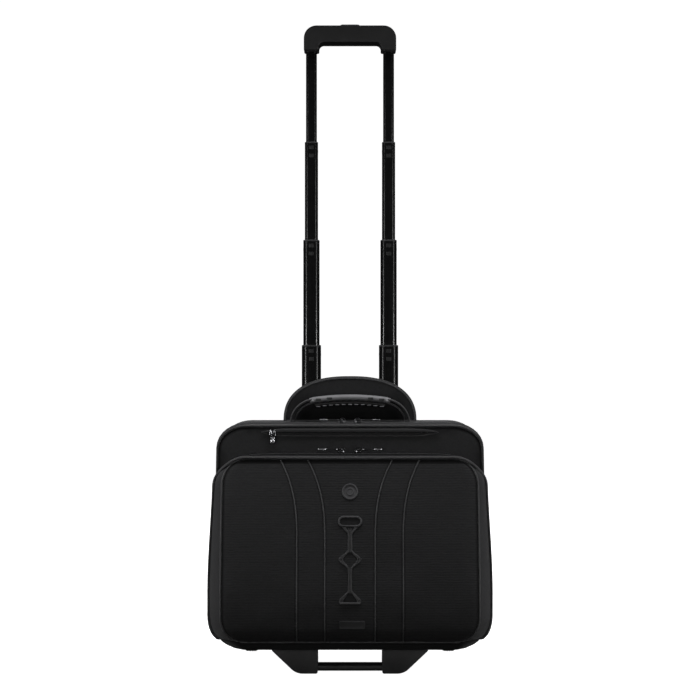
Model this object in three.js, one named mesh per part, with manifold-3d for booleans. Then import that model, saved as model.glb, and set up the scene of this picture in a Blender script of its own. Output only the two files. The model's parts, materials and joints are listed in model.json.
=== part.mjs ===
// Rolling laptop case: a soft bag with a stand and two wheels, a four-stage trolley handle behind a
// padded hood, a webbing carry handle, a front half that opens and a front pocket that tips forward.
// Millimetres, +Z up, front towards -Y. The origin is on the floor, under the middle of the case.

import * as THREE from 'three';
import { mergeVertices } from 'three/addons/utils/BufferGeometryUtils.js';
import Module from 'manifold-3d';

const wasm = await Module();
wasm.setup();

// ---------------------------------------------------------------- driving dimensions

const MIDDLE = 107.7; // the middle of the depth, lace loops and wheels included, behind the front bulge
const GAP = 0.3; // air between neighbouring pieces
const WALL = 4; // padded bag wall

// Distances behind the front bulge turn into Y.
const Y = (behindFront) => behindFront - MIDDLE;

// Bag body: the rear half, open at the front, with a bottom panel that runs forward under the front.
const BODY = { front: 105, back: 214, bottom: 38, top: 387, halfTop: 216, halfBottom: 221 };
const BODY_CORNERS = { topX: 50, topZ: 40, bottomX: 36, bottomZ: 36 };
const BOTTOM_PANEL = { front: 15, half: 178 };
const LINING_BACK = 173; // the lining hides the trolley tubes from the main compartment

// Front half of the main compartment, open at the back.
const FRONT = { front: 52, back: 103, bottom: 51, top: 386, halfTop: 211, halfBottom: 216 };
const FRONT_CORNERS = { topX: 46, topZ: 36, bottomX: 40, bottomZ: 40 };
const ZIP_LEDGE = { bottom: 341, top: 344, front: 40, half: 160 };

// Front pocket: a scoop with slanted gussets, thin at its top and full near its bottom.
const POCKET_WALL = 3;
const POCKET_BACK = FRONT.front - GAP;
const POCKET_BOTTOM = 52;
const POCKET_TOP = 335;

// Padded hood in front of the trolley tubes.
const HOOD = { front: 147, thickness: 17, half: 110.5, height: 75 };

// Carry handle.
const CARRY = { behind: 128, axisZ: 394, baseHalf: 97, gripHalf: 68, gripZ: 421.5, depth: 26 };

// Trolley: tube widths and depths from the inside out. The last pair is fixed in the bag.
const TROLLEY_Y = Y(190);
const TUBE_X = 65;
const TUBE_WALL = 1;
const STAGES = [
  { width: 18.4, depth: 11.4, radius: 4.5, top: 1025.5, bottom: 764 },
  { width: 22.2, depth: 15.2, radius: 5.6, top: 853.4, bottom: 588 },
  { width: 27.3, depth: 20.2, radius: 7.2, top: 688.4, bottom: 400 },
  { width: 32.3, depth: 25.2, radius: 9, top: 511.4, bottom: 200 },
];
const OUTER_TUBE = { width: 37, depth: 29.8, radius: 11, top: 387, bottom: 54.6 };
const COLLAR = { flange: 2.4, sleeve: 18 };
const LOCK = { height: 11.4, spigot: 8 };
const LOCKED_STAGES = 3; // the fourth stage is stopped by its collar and the bezel

// Grip on top of the inner tubes.
const GRIP = { bottom: 1007.5, top: 1049.7, underside: 1021.7, half: 77.5, inner: 51.9, depth: 30 };
const BUTTON = { half: 16.2, depth: 17.4, bottom: 1041, top: 1052.7 };
const YOKE = { half: 68, bottom: 1034, rodBottom: 783, rodRadius: 2 };

// Stand under the front and wheels at the back.
const STAND = { front: 27, back: 63, half: 123, foot: 86.5, gapHalf: 50.4, barTop: 14, barBottom: 3 };
const WHEEL = { x: 165, behind: 184, radius: 36, width: 24, hubRadius: 27, boreRadius: 3.4 };
const HOUSING = { half: 18, front: 139, back: 213.5, top: 86, well: 40, cheek: 3.6 };
const AXLE_RADIUS = 3;

// ---------------------------------------------------------------- materials

const material = (color, roughness, metalness = 0) =>
  new THREE.MeshStandardMaterial({ color, roughness, metalness });

const nylon = material(0x1b1b1d, 0.85);
const gussetNylon = material(0x232325, 0.85);
const webbing = material(0x161617, 0.8);
const softGrip = material(0x3a3b3d, 0.6);
const mouldedPlastic = material(0x202123, 0.55);
const blackTube = material(0x0c0c0d, 0.22, 0.6);
const zipMetal = material(0x2a2a2c, 0.35, 0.8);
const brightMetal = material(0xa8a8aa, 0.3, 0.9);
const tyreRubber = material(0x141414, 0.8);
const steel = material(0x9a9a9c, 0.35, 1);
const labelRubber = material(0x2c2d2f, 0.6);

// ---------------------------------------------------------------- helpers

const caseGroup = new THREE.Group();

function piece(name, geometry, look) {
  const mesh = new THREE.Mesh(geometry, look);
  mesh.name = name;
  caseGroup.add(mesh);
  return mesh;
}

// A closed three.js geometry as a solid that can be cut and joined.
function solid(geometry) {
  const bare = geometry.clone();
  bare.deleteAttribute('normal');
  bare.deleteAttribute('uv');
  const merged = mergeVertices(bare, 1e-4);
  const mesh = new wasm.Mesh({
    numProp: 3,
    vertProperties: Float32Array.from(merged.attributes.position.array),
    triVerts: Uint32Array.from(merged.index.array),
  });
  return new wasm.Manifold(mesh);
}

function geometryOf(body) {
  const mesh = body.getMesh();
  const geometry = new THREE.BufferGeometry();
  geometry.setAttribute('position', new THREE.BufferAttribute(mesh.vertProperties, 3));
  geometry.setIndex(new THREE.BufferAttribute(mesh.triVerts, 1));
  geometry.computeVertexNormals();
  return geometry;
}

function box(x0, x1, y0, y1, z0, z1) {
  const geometry = new THREE.BoxGeometry(x1 - x0, y1 - y0, z1 - z0);
  return geometry.translate((x0 + x1) / 2, (y0 + y1) / 2, (z0 + z1) / 2);
}

const PLAIN = { bevelEnabled: false, curveSegments: 2 };
const SMOOTH = { bevelEnabled: false, curveSegments: 3 };

// A flat outline pushed along one axis. Outlines are drawn in XZ, YZ or XY.
function alongY(shape, y0, y1, options = PLAIN) {
  const geometry = new THREE.ExtrudeGeometry(shape, { ...options, depth: y1 - y0 });
  return geometry.rotateX(Math.PI / 2).translate(0, y1, 0);
}

function alongX(shape, x0, x1, options = PLAIN) {
  const geometry = new THREE.ExtrudeGeometry(shape, { ...options, depth: x1 - x0 });
  const turn = new THREE.Matrix4().makeBasis(
    new THREE.Vector3(0, 1, 0),
    new THREE.Vector3(0, 0, 1),
    new THREE.Vector3(1, 0, 0),
  );
  return geometry.applyMatrix4(turn).translate(x0, 0, 0);
}

function alongZ(shape, z0, z1, options = PLAIN) {
  return new THREE.ExtrudeGeometry(shape, { ...options, depth: z1 - z0 }).translate(0, 0, z0);
}

// A cylinder that lies along X.
function rodAlongX(x0, x1, y, z, radius, sides = 20) {
  const geometry = new THREE.CylinderGeometry(radius, radius, x1 - x0, sides);
  return geometry.rotateZ(Math.PI / 2).translate((x0 + x1) / 2, y, z);
}

function roundedRect(halfWidth, halfHeight, radius, path = new THREE.Shape()) {
  path.moveTo(halfWidth, -halfHeight + radius);
  path.lineTo(halfWidth, halfHeight - radius);
  path.absarc(halfWidth - radius, halfHeight - radius, radius, 0, Math.PI / 2);
  path.lineTo(-halfWidth + radius, halfHeight);
  path.absarc(-halfWidth + radius, halfHeight - radius, radius, Math.PI / 2, Math.PI);
  path.lineTo(-halfWidth, -halfHeight + radius);
  path.absarc(-halfWidth + radius, -halfHeight + radius, radius, Math.PI, Math.PI * 1.5);
  path.lineTo(halfWidth - radius, -halfHeight);
  path.absarc(halfWidth - radius, -halfHeight + radius, radius, -Math.PI / 2, 0);
  return path;
}

// The front view of a bag half: a tall panel with elliptical corners, a little wider at its bottom.
function bagOutline(spec, corners, inset = 0) {
  const top = spec.top - inset;
  const bottom = spec.bottom + inset;
  const halfTop = spec.halfTop - inset;
  const halfBottom = spec.halfBottom - inset;
  const topX = corners.topX - inset;
  const topZ = corners.topZ - inset;
  const bottomX = corners.bottomX - inset;
  const bottomZ = corners.bottomZ - inset;
  const quarter = Math.PI / 2;
  const shape = new THREE.Shape();
  shape.absellipse(halfBottom - bottomX, bottom + bottomZ, bottomX, bottomZ, -quarter, 0);
  shape.absellipse(halfTop - topX, top - topZ, topX, topZ, 0, quarter);
  shape.absellipse(-halfTop + topX, top - topZ, topX, topZ, quarter, 2 * quarter);
  shape.absellipse(-halfBottom + bottomX, bottom + bottomZ, bottomX, bottomZ, 2 * quarter, 3 * quarter);
  return shape;
}

// A closed solid through level outlines of equal point count, from the lowest to the highest.
function stacked(levels) {
  const count = levels[0].length;
  const positions = levels.flat().flatMap((p) => [p.x, p.y, p.z]);
  const triangles = [];
  for (let level = 0; level + 1 < levels.length; level += 1) {
    for (let i = 0; i < count; i += 1) {
      const a = level * count + i;
      const b = level * count + ((i + 1) % count);
      triangles.push(a, b, b + count, a, b + count, a + count);
    }
  }
  const last = (levels.length - 1) * count;
  for (let i = 1; i + 1 < count; i += 1) {
    triangles.push(0, i + 1, i);
    triangles.push(last, last + i, last + i + 1);
  }
  const geometry = new THREE.BufferGeometry();
  geometry.setAttribute('position', new THREE.Float32BufferAttribute(positions, 3));
  geometry.setIndex(triangles);
  return geometry;
}

// ---------------------------------------------------------------- bag body

const wheelY = Y(WHEEL.behind);

function makeBody() {
  const outside = solid(alongY(bagOutline(BODY, BODY_CORNERS), Y(BODY.front), Y(BODY.back), SMOOTH));
  const insideOutline = bagOutline(BODY, BODY_CORNERS, WALL);
  const inside = solid(alongY(insideOutline, Y(BODY.front) - 1, Y(BODY.back) - WALL, SMOOTH));
  const panelBack = Y(BODY.front) + WALL;
  const panel = box(
    -BOTTOM_PANEL.half, BOTTOM_PANEL.half,
    Y(BOTTOM_PANEL.front), panelBack,
    BODY.bottom, BODY.bottom + WALL,
  );
  let body = outside.subtract(inside).add(solid(panel));
  const sleeveHalf = TUBE_X + OUTER_TUBE.width / 2 + 1;
  const sleeveDepth = OUTER_TUBE.depth / 2 + 1;
  const sleeve = box(
    -sleeveHalf, sleeveHalf,
    TROLLEY_Y - sleeveDepth, TROLLEY_Y + sleeveDepth,
    BODY.top - WALL - 1, BODY.top + 1,
  );
  body = body.subtract(solid(sleeve));
  for (const side of [-1, 1]) {
    const well = box(
      side * WHEEL.x - HOUSING.half - GAP, side * WHEEL.x + HOUSING.half + GAP,
      Y(HOUSING.front) - GAP, Y(BODY.back) + 1,
      BODY.bottom - 1, HOUSING.top + GAP,
    );
    body = body.subtract(solid(well));
  }
  return geometryOf(body);
}

piece('bag_body', makeBody(), nylon);

const liningInset = WALL + GAP;
const liningHalf = BODY.halfTop - liningInset - 1;
const liningSpec = {
  halfTop: liningHalf,
  halfBottom: liningHalf,
  bottom: HOUSING.top + 1,
  top: BODY.top - liningInset,
};
const liningShape = bagOutline(liningSpec, { topX: 44, topZ: 34, bottomX: 4, bottomZ: 4 });
piece('back_lining_panel', alongY(liningShape, Y(LINING_BACK - 3), Y(LINING_BACK), SMOOTH), nylon);

// ---------------------------------------------------------------- front half and front pocket

function makeFrontHalf() {
  const outside = solid(alongY(bagOutline(FRONT, FRONT_CORNERS), Y(FRONT.front), Y(FRONT.back), SMOOTH));
  const insideOutline = bagOutline(FRONT, FRONT_CORNERS, WALL);
  const inside = solid(alongY(insideOutline, Y(FRONT.front) + WALL, Y(FRONT.back) + 1, SMOOTH));
  const ledge = box(
    -ZIP_LEDGE.half, ZIP_LEDGE.half,
    Y(ZIP_LEDGE.front), Y(FRONT.front) + 1,
    ZIP_LEDGE.bottom, ZIP_LEDGE.top,
  );
  return geometryOf(outside.subtract(inside).add(solid(ledge)));
}

piece('front_half_shell', makeFrontHalf(), gussetNylon);

// The pocket's front face bulges: how far behind the front bulge it lies, from bottom to top.
const pocketFace = new THREE.CatmullRomCurve3([
  new THREE.Vector3(0, 13, POCKET_BOTTOM),
  new THREE.Vector3(0, 3.5, 75),
  new THREE.Vector3(0, 0, 115),
  new THREE.Vector3(0, 6.5, 180),
  new THREE.Vector3(0, 19, 260),
  new THREE.Vector3(0, 36, POCKET_TOP),
]);

// Half-widths of the seam round the front face and of the gusset's back edge, at a height.
function cornerDrop(z, radiusX, radiusZ) {
  const low = Math.max(0, 1 - (z - POCKET_BOTTOM) / radiusZ);
  return radiusX * (1 - Math.sqrt(1 - low * low));
}

function shoulderDrop(z, radiusX, radiusZ) {
  const high = Math.max(0, 1 - (POCKET_TOP - z) / radiusZ);
  return radiusX * (1 - Math.sqrt(1 - Math.min(1, high * high)));
}

function seamHalf(z) {
  return 200 - shoulderDrop(z, 40, 40) - cornerDrop(z, 34, 40);
}

function gussetHalf(z) {
  const swell = 8 * THREE.MathUtils.smoothstep(POCKET_TOP - z, 0, POCKET_TOP - 115);
  return 214 + swell - shoulderDrop(z, 52, 46) - cornerDrop(z, 14, 34);
}

function pocketSolid(inset, backY) {
  const levels = [];
  const count = 16;
  for (let i = 0; i <= count; i += 1) {
    const along = 0.5 - 0.5 * Math.cos((Math.PI * i) / count);
    const onFace = pocketFace.getPoint(along);
    const base = THREE.MathUtils.clamp(onFace.z, POCKET_BOTTOM + 0.01, POCKET_TOP);
    const z = inset > 0 ? THREE.MathUtils.mapLinear(
      onFace.z, POCKET_BOTTOM, POCKET_TOP, POCKET_BOTTOM + inset, POCKET_TOP + 1,
    ) : onFace.z;
    const front = Y(onFace.y) + inset;
    const seam = seamHalf(base) - inset;
    const gusset = gussetHalf(base) - inset;
    levels.push([
      new THREE.Vector3(-seam, front, z),
      new THREE.Vector3(seam, front, z),
      new THREE.Vector3(gusset, backY, z),
      new THREE.Vector3(-gusset, backY, z),
    ]);
  }
  return solid(stacked(levels));
}

const pocket = pocketSolid(0, Y(POCKET_BACK)).subtract(pocketSolid(POCKET_WALL, Y(POCKET_BACK) + 1));
piece('front_pocket', geometryOf(pocket), nylon);

// ---------------------------------------------------------------- hood, badge, label and lace

function hoodShape() {
  const base = BODY.top + GAP;
  const { half, height } = HOOD;
  const shape = new THREE.Shape();
  shape.moveTo(-half, base);
  shape.lineTo(half, base);
  shape.bezierCurveTo(half - 9, base + height - 25, half - 29, base + height, 0, base + height);
  shape.bezierCurveTo(-half + 29, base + height, -half + 9, base + height - 25, -half, base);
  return shape;
}

const HOOD_BEVEL = { bevelEnabled: true, bevelThickness: 3, bevelSize: 3, bevelOffset: -3 };
piece(
  'trolley_hood',
  alongY(hoodShape(), Y(HOOD.front) + 3, Y(HOOD.front + HOOD.thickness) - 3, {
    ...HOOD_BEVEL, bevelSegments: 1, curveSegments: 12,
  }),
  nylon,
);

// The face's distance behind the front bulge at a height.
function faceAt(z) {
  let best = pocketFace.getPoint(0);
  for (let i = 1; i <= 200; i += 1) {
    const point = pocketFace.getPoint(i / 200);
    if (Math.abs(point.z - z) < Math.abs(best.z - z)) best = point;
  }
  return best.y;
}

// Flat trim in front of the pocket face, turned to lie along it.
function layOnFace(trim, x, z) {
  const step = 12;
  const slope = Math.atan2(faceAt(z + step) - faceAt(z - step), 2 * step);
  return trim.rotateX(-slope).translate(x, Y(faceAt(z)) - GAP - 1.1, z);
}

function trimOnFace(shape, x, z, thickness, lift = 0) {
  return layOnFace(alongY(shape, -thickness - lift, -lift), x, z);
}

const BADGE = { z: 284.5, radius: 12.6, thickness: 2.4 };
const LABEL = { x: 3.5, z: 82, half: 20, halfHeight: 5.8, thickness: 1.8 };
const badgeDisc = new THREE.CylinderGeometry(BADGE.radius, BADGE.radius, BADGE.thickness, 24);
badgeDisc.translate(0, -BADGE.thickness / 2, 0);
piece('front_badge', layOnFace(badgeDisc, 0, BADGE.z), labelRubber);
piece(
  'front_label_plate',
  trimOnFace(roundedRect(LABEL.half, LABEL.halfHeight, 1.5), LABEL.x, LABEL.z, LABEL.thickness),
  labelRubber,
);

// Three flat loops down the middle of the pocket, joined by a gathered lace into one trim.
const LOOPS = [
  { z: 239, half: 17, halfHeight: 7.5, holeHalf: 12.5, holeHalfHeight: 3 },
  { z: 175, half: 17, halfHeight: 10.5, holeHalf: 12, holeHalfHeight: 5 },
  { z: 119, half: 17.5, halfHeight: 10.5, holeHalf: 13, holeHalfHeight: 5 },
];
const LACE = { half: 2.6, thickness: 1.9, lift: 0.55, loopThickness: 3, overlap: 2 };

function makeLaceTrim() {
  const parts = LOOPS.map((loop) => {
    const shape = roundedRect(loop.half, loop.halfHeight, Math.min(loop.halfHeight, 7) - 0.2);
    shape.holes.push(roundedRect(loop.holeHalf, loop.holeHalfHeight, 2.6, new THREE.Path()));
    return solid(trimOnFace(shape, 0, loop.z, LACE.loopThickness));
  });
  for (let i = 0; i + 1 < LOOPS.length; i += 1) {
    const top = LOOPS[i].z - LOOPS[i].halfHeight + LACE.overlap;
    const bottom = LOOPS[i + 1].z + LOOPS[i + 1].halfHeight - LACE.overlap;
    const shape = roundedRect(LACE.half, (top - bottom) / 2, 1.2);
    parts.push(solid(trimOnFace(shape, 0, (top + bottom) / 2, LACE.thickness, LACE.lift)));
  }
  return geometryOf(parts.reduce((all, part) => all.add(part)));
}
piece('lace_trim', makeLaceTrim(), webbing);

// ---------------------------------------------------------------- zips

// Local frame of a zip slider: its pull lies along +X, its hinge pin along Y, and +Z leaves the tape.
const SLIDER = { half: 5.5, halfWidth: 5, height: 3, bridgeHalf: 4.4, bridgeHeight: 4.6, bridgeWidth: 3 };
const PIN = { z: 5, half: 0.7 };

function sliderBody() {
  const outline = new THREE.Shape();
  outline.moveTo(-SLIDER.half, -SLIDER.halfWidth * 0.6);
  outline.lineTo(-SLIDER.half * 0.2, -SLIDER.halfWidth);
  outline.lineTo(SLIDER.half, -SLIDER.halfWidth);
  outline.lineTo(SLIDER.half, SLIDER.halfWidth);
  outline.lineTo(-SLIDER.half * 0.2, SLIDER.halfWidth);
  outline.lineTo(-SLIDER.half, SLIDER.halfWidth * 0.6);
  const base = solid(alongZ(outline, 0, SLIDER.height));
  const top = SLIDER.height + SLIDER.bridgeHeight;
  const bridge = box(
    -SLIDER.bridgeHalf, SLIDER.bridgeHalf,
    -SLIDER.bridgeWidth / 2, SLIDER.bridgeWidth / 2,
    SLIDER.height - 0.5, top,
  );
  const slot = box(
    -SLIDER.bridgeHalf + 1.4, SLIDER.bridgeHalf - 1.4,
    -SLIDER.bridgeWidth, SLIDER.bridgeWidth,
    SLIDER.height + 0.6, top - 1.2,
  );
  return base.add(solid(bridge)).subtract(solid(slot));
}

// A tapered tab with a window. The bar at the window's end goes through the slider's bridge.
function pullTab(length, halfWidth) {
  const outline = new THREE.Shape();
  outline.moveTo(-PIN.half, -3.6);
  outline.lineTo(9, -3.6);
  outline.lineTo(13, -halfWidth);
  outline.lineTo(length - 1.5, -halfWidth * 0.8);
  outline.lineTo(length, -halfWidth * 0.5);
  outline.lineTo(length, halfWidth * 0.5);
  outline.lineTo(length - 1.5, halfWidth * 0.8);
  outline.lineTo(13, halfWidth);
  outline.lineTo(9, 3.6);
  outline.lineTo(-PIN.half, 3.6);
  const window = new THREE.Path();
  window.moveTo(PIN.half, -1.9);
  window.lineTo(PIN.half, 1.9);
  window.lineTo(8, 1.9);
  window.lineTo(8, -1.9);
  outline.holes.push(window);
  return alongZ(outline, PIN.z - PIN.half, PIN.z + PIN.half);
}

function zip(name, place, length, halfWidth, sliderLook, pullLook) {
  const slider = geometryOf(sliderBody());
  piece(`${name}_slider`, slider.applyMatrix4(place), sliderLook);
  piece(`${name}_pull`, pullTab(length, halfWidth).applyMatrix4(place), pullLook);
}

// Where a slider sits: its pull points to one side, and its pin stands above the zip.
function onLedge(side, x, behind, z) {
  const turn = new THREE.Matrix4().makeRotationZ(side > 0 ? 0 : Math.PI);
  return new THREE.Matrix4().makeTranslation(side * x, Y(behind), z).multiply(turn);
}

const MAIN_ZIP = { x: 12, behind: 104, z: BODY.top + 0.8 };
const POCKET_ZIP = { x: 12.5, behind: 45.6, z: ZIP_LEDGE.top + GAP };
const SIDE_NAMES = [['left', -1], ['right', 1]];
for (const [sideName, side] of SIDE_NAMES) {
  const mainPlace = onLedge(side, MAIN_ZIP.x, MAIN_ZIP.behind, MAIN_ZIP.z);
  zip(`main_zip_${sideName}`, mainPlace, 38, 5.2, zipMetal, zipMetal);
  const pocketPlace = onLedge(side, POCKET_ZIP.x, POCKET_ZIP.behind, POCKET_ZIP.z);
  zip(`pocket_zip_${sideName}`, pocketPlace, 39, 4, zipMetal, zipMetal);
}

// The organiser zip runs across the front half's top, with its pull hanging down from the slider.
const ORGANISER_ZIP = { x: -122, z: 375.5, half: 140, halfHeight: 5.5, thickness: 1.4 };
const weltEnd = ORGANISER_ZIP.half;
const weltShoulder = weltEnd - 12;
const weltFlat = weltEnd - 28;
const weltHigh = ORGANISER_ZIP.halfHeight;
const weltShape = new THREE.Shape();
weltShape.moveTo(-weltEnd, 0);
weltShape.quadraticCurveTo(-weltShoulder, -weltHigh, -weltFlat, -weltHigh);
weltShape.lineTo(weltFlat, -weltHigh);
weltShape.quadraticCurveTo(weltShoulder, -weltHigh, weltEnd, 0);
weltShape.quadraticCurveTo(weltShoulder, weltHigh, weltFlat, weltHigh);
weltShape.lineTo(-weltFlat, weltHigh);
weltShape.quadraticCurveTo(-weltShoulder, weltHigh, -weltEnd, 0);
const weltFront = Y(FRONT.front) - GAP - ORGANISER_ZIP.thickness;
piece(
  'organiser_zip_welt',
  alongY(weltShape, weltFront, Y(FRONT.front) - GAP).translate(0, 0, ORGANISER_ZIP.z),
  webbing,
);
const hangingDown = new THREE.Matrix4().makeBasis(
  new THREE.Vector3(0, 0, -1),
  new THREE.Vector3(1, 0, 0),
  new THREE.Vector3(0, -1, 0),
);
hangingDown.setPosition(ORGANISER_ZIP.x, weltFront - GAP, ORGANISER_ZIP.z);
zip('organiser_zip', hangingDown, 17, 5, brightMetal, brightMetal);

// ---------------------------------------------------------------- carry handle

// One webbing leg, seen from the front: it leans in from the bag to the end of the grip.
function carryLeg(side) {
  const thickness = 3.4;
  const bottom = CARRY.axisZ - 5.8;
  const top = CARRY.gripZ + 3;
  const curve = new THREE.CubicBezierCurve3(
    new THREE.Vector3(side * CARRY.baseHalf, 0, bottom),
    new THREE.Vector3(side * (CARRY.baseHalf - 4), 0, bottom + 16),
    new THREE.Vector3(side * (CARRY.gripHalf + 14), 0, top - 4),
    new THREE.Vector3(side * (CARRY.gripHalf + 1.2), 0, top),
  );
  const points = curve.getPoints(8);
  const outline = new THREE.Shape();
  const shifted = (point, offset) => new THREE.Vector2(point.x + side * offset, point.z + offset * 0.4);
  const outer = points.map((point) => shifted(point, thickness / 2));
  const inner = points.map((point) => shifted(point, -thickness / 2));
  outline.setFromPoints([...outer, ...inner.reverse()]);
  const halfDepth = CARRY.depth / 2;
  const strap = solid(alongY(outline, Y(CARRY.behind) - halfDepth, Y(CARRY.behind) + halfDepth));
  // The foot of the leg narrows to a round end about the fold.
  const end = new THREE.Shape();
  end.moveTo(-CARRY.depth / 2 - 1, top + 10);
  end.lineTo(-CARRY.depth / 2 - 1, CARRY.axisZ + 12);
  end.lineTo(-5.6, CARRY.axisZ);
  end.absarc(0, CARRY.axisZ, 5.6, Math.PI, 2 * Math.PI);
  end.lineTo(CARRY.depth / 2 + 1, CARRY.axisZ + 12);
  end.lineTo(CARRY.depth / 2 + 1, top + 10);
  const reach = side * (CARRY.baseHalf + 10);
  const cutter = alongX(end, Math.min(0, reach), Math.max(0, reach)).translate(0, Y(CARRY.behind), 0);
  return geometryOf(strap.intersect(solid(cutter)));
}

for (const [sideName, side] of SIDE_NAMES) {
  piece(`carry_strap_${sideName}`, carryLeg(side), webbing);
}

// Grip: a smooth upper shell over a ribbed lower pad, both slightly arched.
function archedBar(half, bottom, height, arch) {
  const shape = new THREE.Shape();
  shape.moveTo(-half, bottom);
  shape.quadraticCurveTo(0, bottom + 2 * arch, half, bottom);
  shape.lineTo(half, bottom + height);
  shape.quadraticCurveTo(0, bottom + height + 2 * arch, -half, bottom + height);
  return shape;
}
const GRIP_BEVEL = {
  bevelEnabled: true, bevelThickness: 3, bevelSize: 2.4, bevelOffset: -2.4, bevelSegments: 2,
};
function carryBar(half, bottom, height, depth) {
  const front = Y(CARRY.behind) - depth / 2 + GRIP_BEVEL.bevelThickness;
  const back = Y(CARRY.behind) + depth / 2 - GRIP_BEVEL.bevelThickness;
  return alongY(archedBar(half, bottom, height, 1.6), front, back, { ...GRIP_BEVEL, curveSegments: 6 });
}
piece('carry_grip_shell', carryBar(CARRY.gripHalf - 2.4, CARRY.gripZ, 9.6, 30), softGrip);
piece('carry_grip_pad', carryBar(CARRY.gripHalf - 11, CARRY.gripZ - 8.2, 7.9, 27), webbing);

// ---------------------------------------------------------------- trolley

const tubeSection = (spec, grow, path) =>
  roundedRect(spec.width / 2 + grow, spec.depth / 2 + grow, spec.radius + grow, path);

function tube(spec, x) {
  const section = tubeSection(spec, 0);
  section.holes.push(tubeSection(spec, -TUBE_WALL, new THREE.Path()));
  return alongZ(section, spec.bottom, spec.top).translate(x, TROLLEY_Y, 0);
}

// A collar closes the gap between a tube's mouth and the next tube in: a flange with a sleeve below.
function collar(spec, inner, x) {
  const hole = () => tubeSection(inner, GAP, new THREE.Path());
  const flange = tubeSection(spec, 0);
  flange.holes.push(hole());
  const sleeve = tubeSection(spec, -TUBE_WALL - 0.2);
  sleeve.holes.push(hole());
  const start = spec.top + 0.1;
  const flangeSolid = solid(alongZ(flange, start, start + COLLAR.flange));
  const sleeveSolid = solid(alongZ(sleeve, start - COLLAR.sleeve, start + 0.5));
  return geometryOf(flangeSolid.add(sleeveSolid).translate([x, TROLLEY_Y, 0]));
}

// A lock block hangs from each sliding tube's lower end and runs in the bore of the next tube out.
function lockBlock(spec, outer, x) {
  const block = tubeSection(outer, -TUBE_WALL - 0.35);
  const spigot = tubeSection(spec, -TUBE_WALL - GAP);
  const top = spec.bottom - GAP;
  const blockSolid = solid(alongZ(block, top - LOCK.height, top));
  const spigotSolid = solid(alongZ(spigot, top - 0.5, top + LOCK.spigot));
  return geometryOf(blockSolid.add(spigotSolid).translate([x, TROLLEY_Y, 0]));
}

for (const [sideName, side] of SIDE_NAMES) {
  const x = side * TUBE_X;
  STAGES.forEach((spec, i) => {
    const outer = STAGES[i + 1] ?? OUTER_TUBE;
    piece(`tube_${i + 1}_${sideName}`, tube(spec, x), blackTube);
    if (i < LOCKED_STAGES) {
      piece(`lock_block_${i + 1}_${sideName}`, lockBlock(spec, outer, x), mouldedPlastic);
    }
    if (i > 0) {
      piece(`collar_${i + 1}_${sideName}`, collar(spec, STAGES[i - 1], x), mouldedPlastic);
    }
  });
  piece(`outer_tube_${sideName}`, tube(OUTER_TUBE, x), blackTube);
}

function makeBezel() {
  const plate = roundedRect(98, 20, 8);
  let bezel = solid(alongZ(plate, BODY.top + GAP, BODY.top + 4.2));
  for (const side of [-1, 1]) {
    const hole = alongZ(tubeSection(STAGES[3], GAP), BODY.top - 1, BODY.top + 6);
    bezel = bezel.subtract(solid(hole).translate([side * TUBE_X, 0, 0]));
  }
  return geometryOf(bezel.translate([0, TROLLEY_Y, 0]));
}
piece('trolley_bezel', makeBezel(), mouldedPlastic);

function makeBracket() {
  const plate = roundedRect(92, 15.5, 4);
  const top = OUTER_TUBE.bottom - GAP;
  let bracket = solid(alongZ(plate, BODY.bottom + WALL + GAP, top));
  for (const side of [-1, 1]) {
    const spigot = alongZ(tubeSection(OUTER_TUBE, -TUBE_WALL - GAP), top - 0.5, top + 9);
    bracket = bracket.add(solid(spigot).translate([side * TUBE_X, 0, 0]));
  }
  return geometryOf(bracket.translate([0, TROLLEY_Y, 0]));
}
piece('trolley_base_bracket', makeBracket(), mouldedPlastic);

// Grip: an arch over both inner tubes, split into a front and a rear shell round the release gear.
function gripOutline() {
  const { half, inner, bottom, top, underside } = GRIP;
  const corner = 22;
  const innerCorner = 8;
  const shape = new THREE.Shape();
  shape.moveTo(inner, bottom);
  shape.lineTo(half, bottom);
  shape.lineTo(half, top - corner);
  shape.absarc(half - corner, top - corner, corner, 0, Math.PI / 2);
  shape.lineTo(-half + corner, top);
  shape.absarc(-half + corner, top - corner, corner, Math.PI / 2, Math.PI);
  shape.lineTo(-half, bottom);
  shape.lineTo(-inner, bottom);
  shape.lineTo(-inner, underside - innerCorner);
  shape.quadraticCurveTo(-inner, underside, -inner + innerCorner, underside);
  shape.quadraticCurveTo(0, underside - 2, inner - innerCorner, underside);
  shape.quadraticCurveTo(inner, underside, inner, underside - innerCorner);
  return shape;
}

function gripCavity() {
  const slack = 0.4;
  const bar = box(-YOKE.half - 1, YOKE.half + 1, -5.5, 5.5, GRIP.underside + 4.5, BUTTON.bottom + 0.5);
  const slotHalf = BUTTON.half + slack;
  const slotDepth = BUTTON.depth / 2 + slack;
  const slot = box(-slotHalf, slotHalf, -slotDepth, slotDepth, BUTTON.bottom - 6.5, GRIP.top + 5);
  let cavity = solid(bar).add(solid(slot));
  for (const side of [-1, 1]) {
    const socket = alongZ(tubeSection(STAGES[0], GAP), GRIP.bottom - 5, GRIP.underside + 5);
    cavity = cavity.add(solid(socket).translate([side * TUBE_X, 0, 0]));
  }
  return cavity;
}

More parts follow.
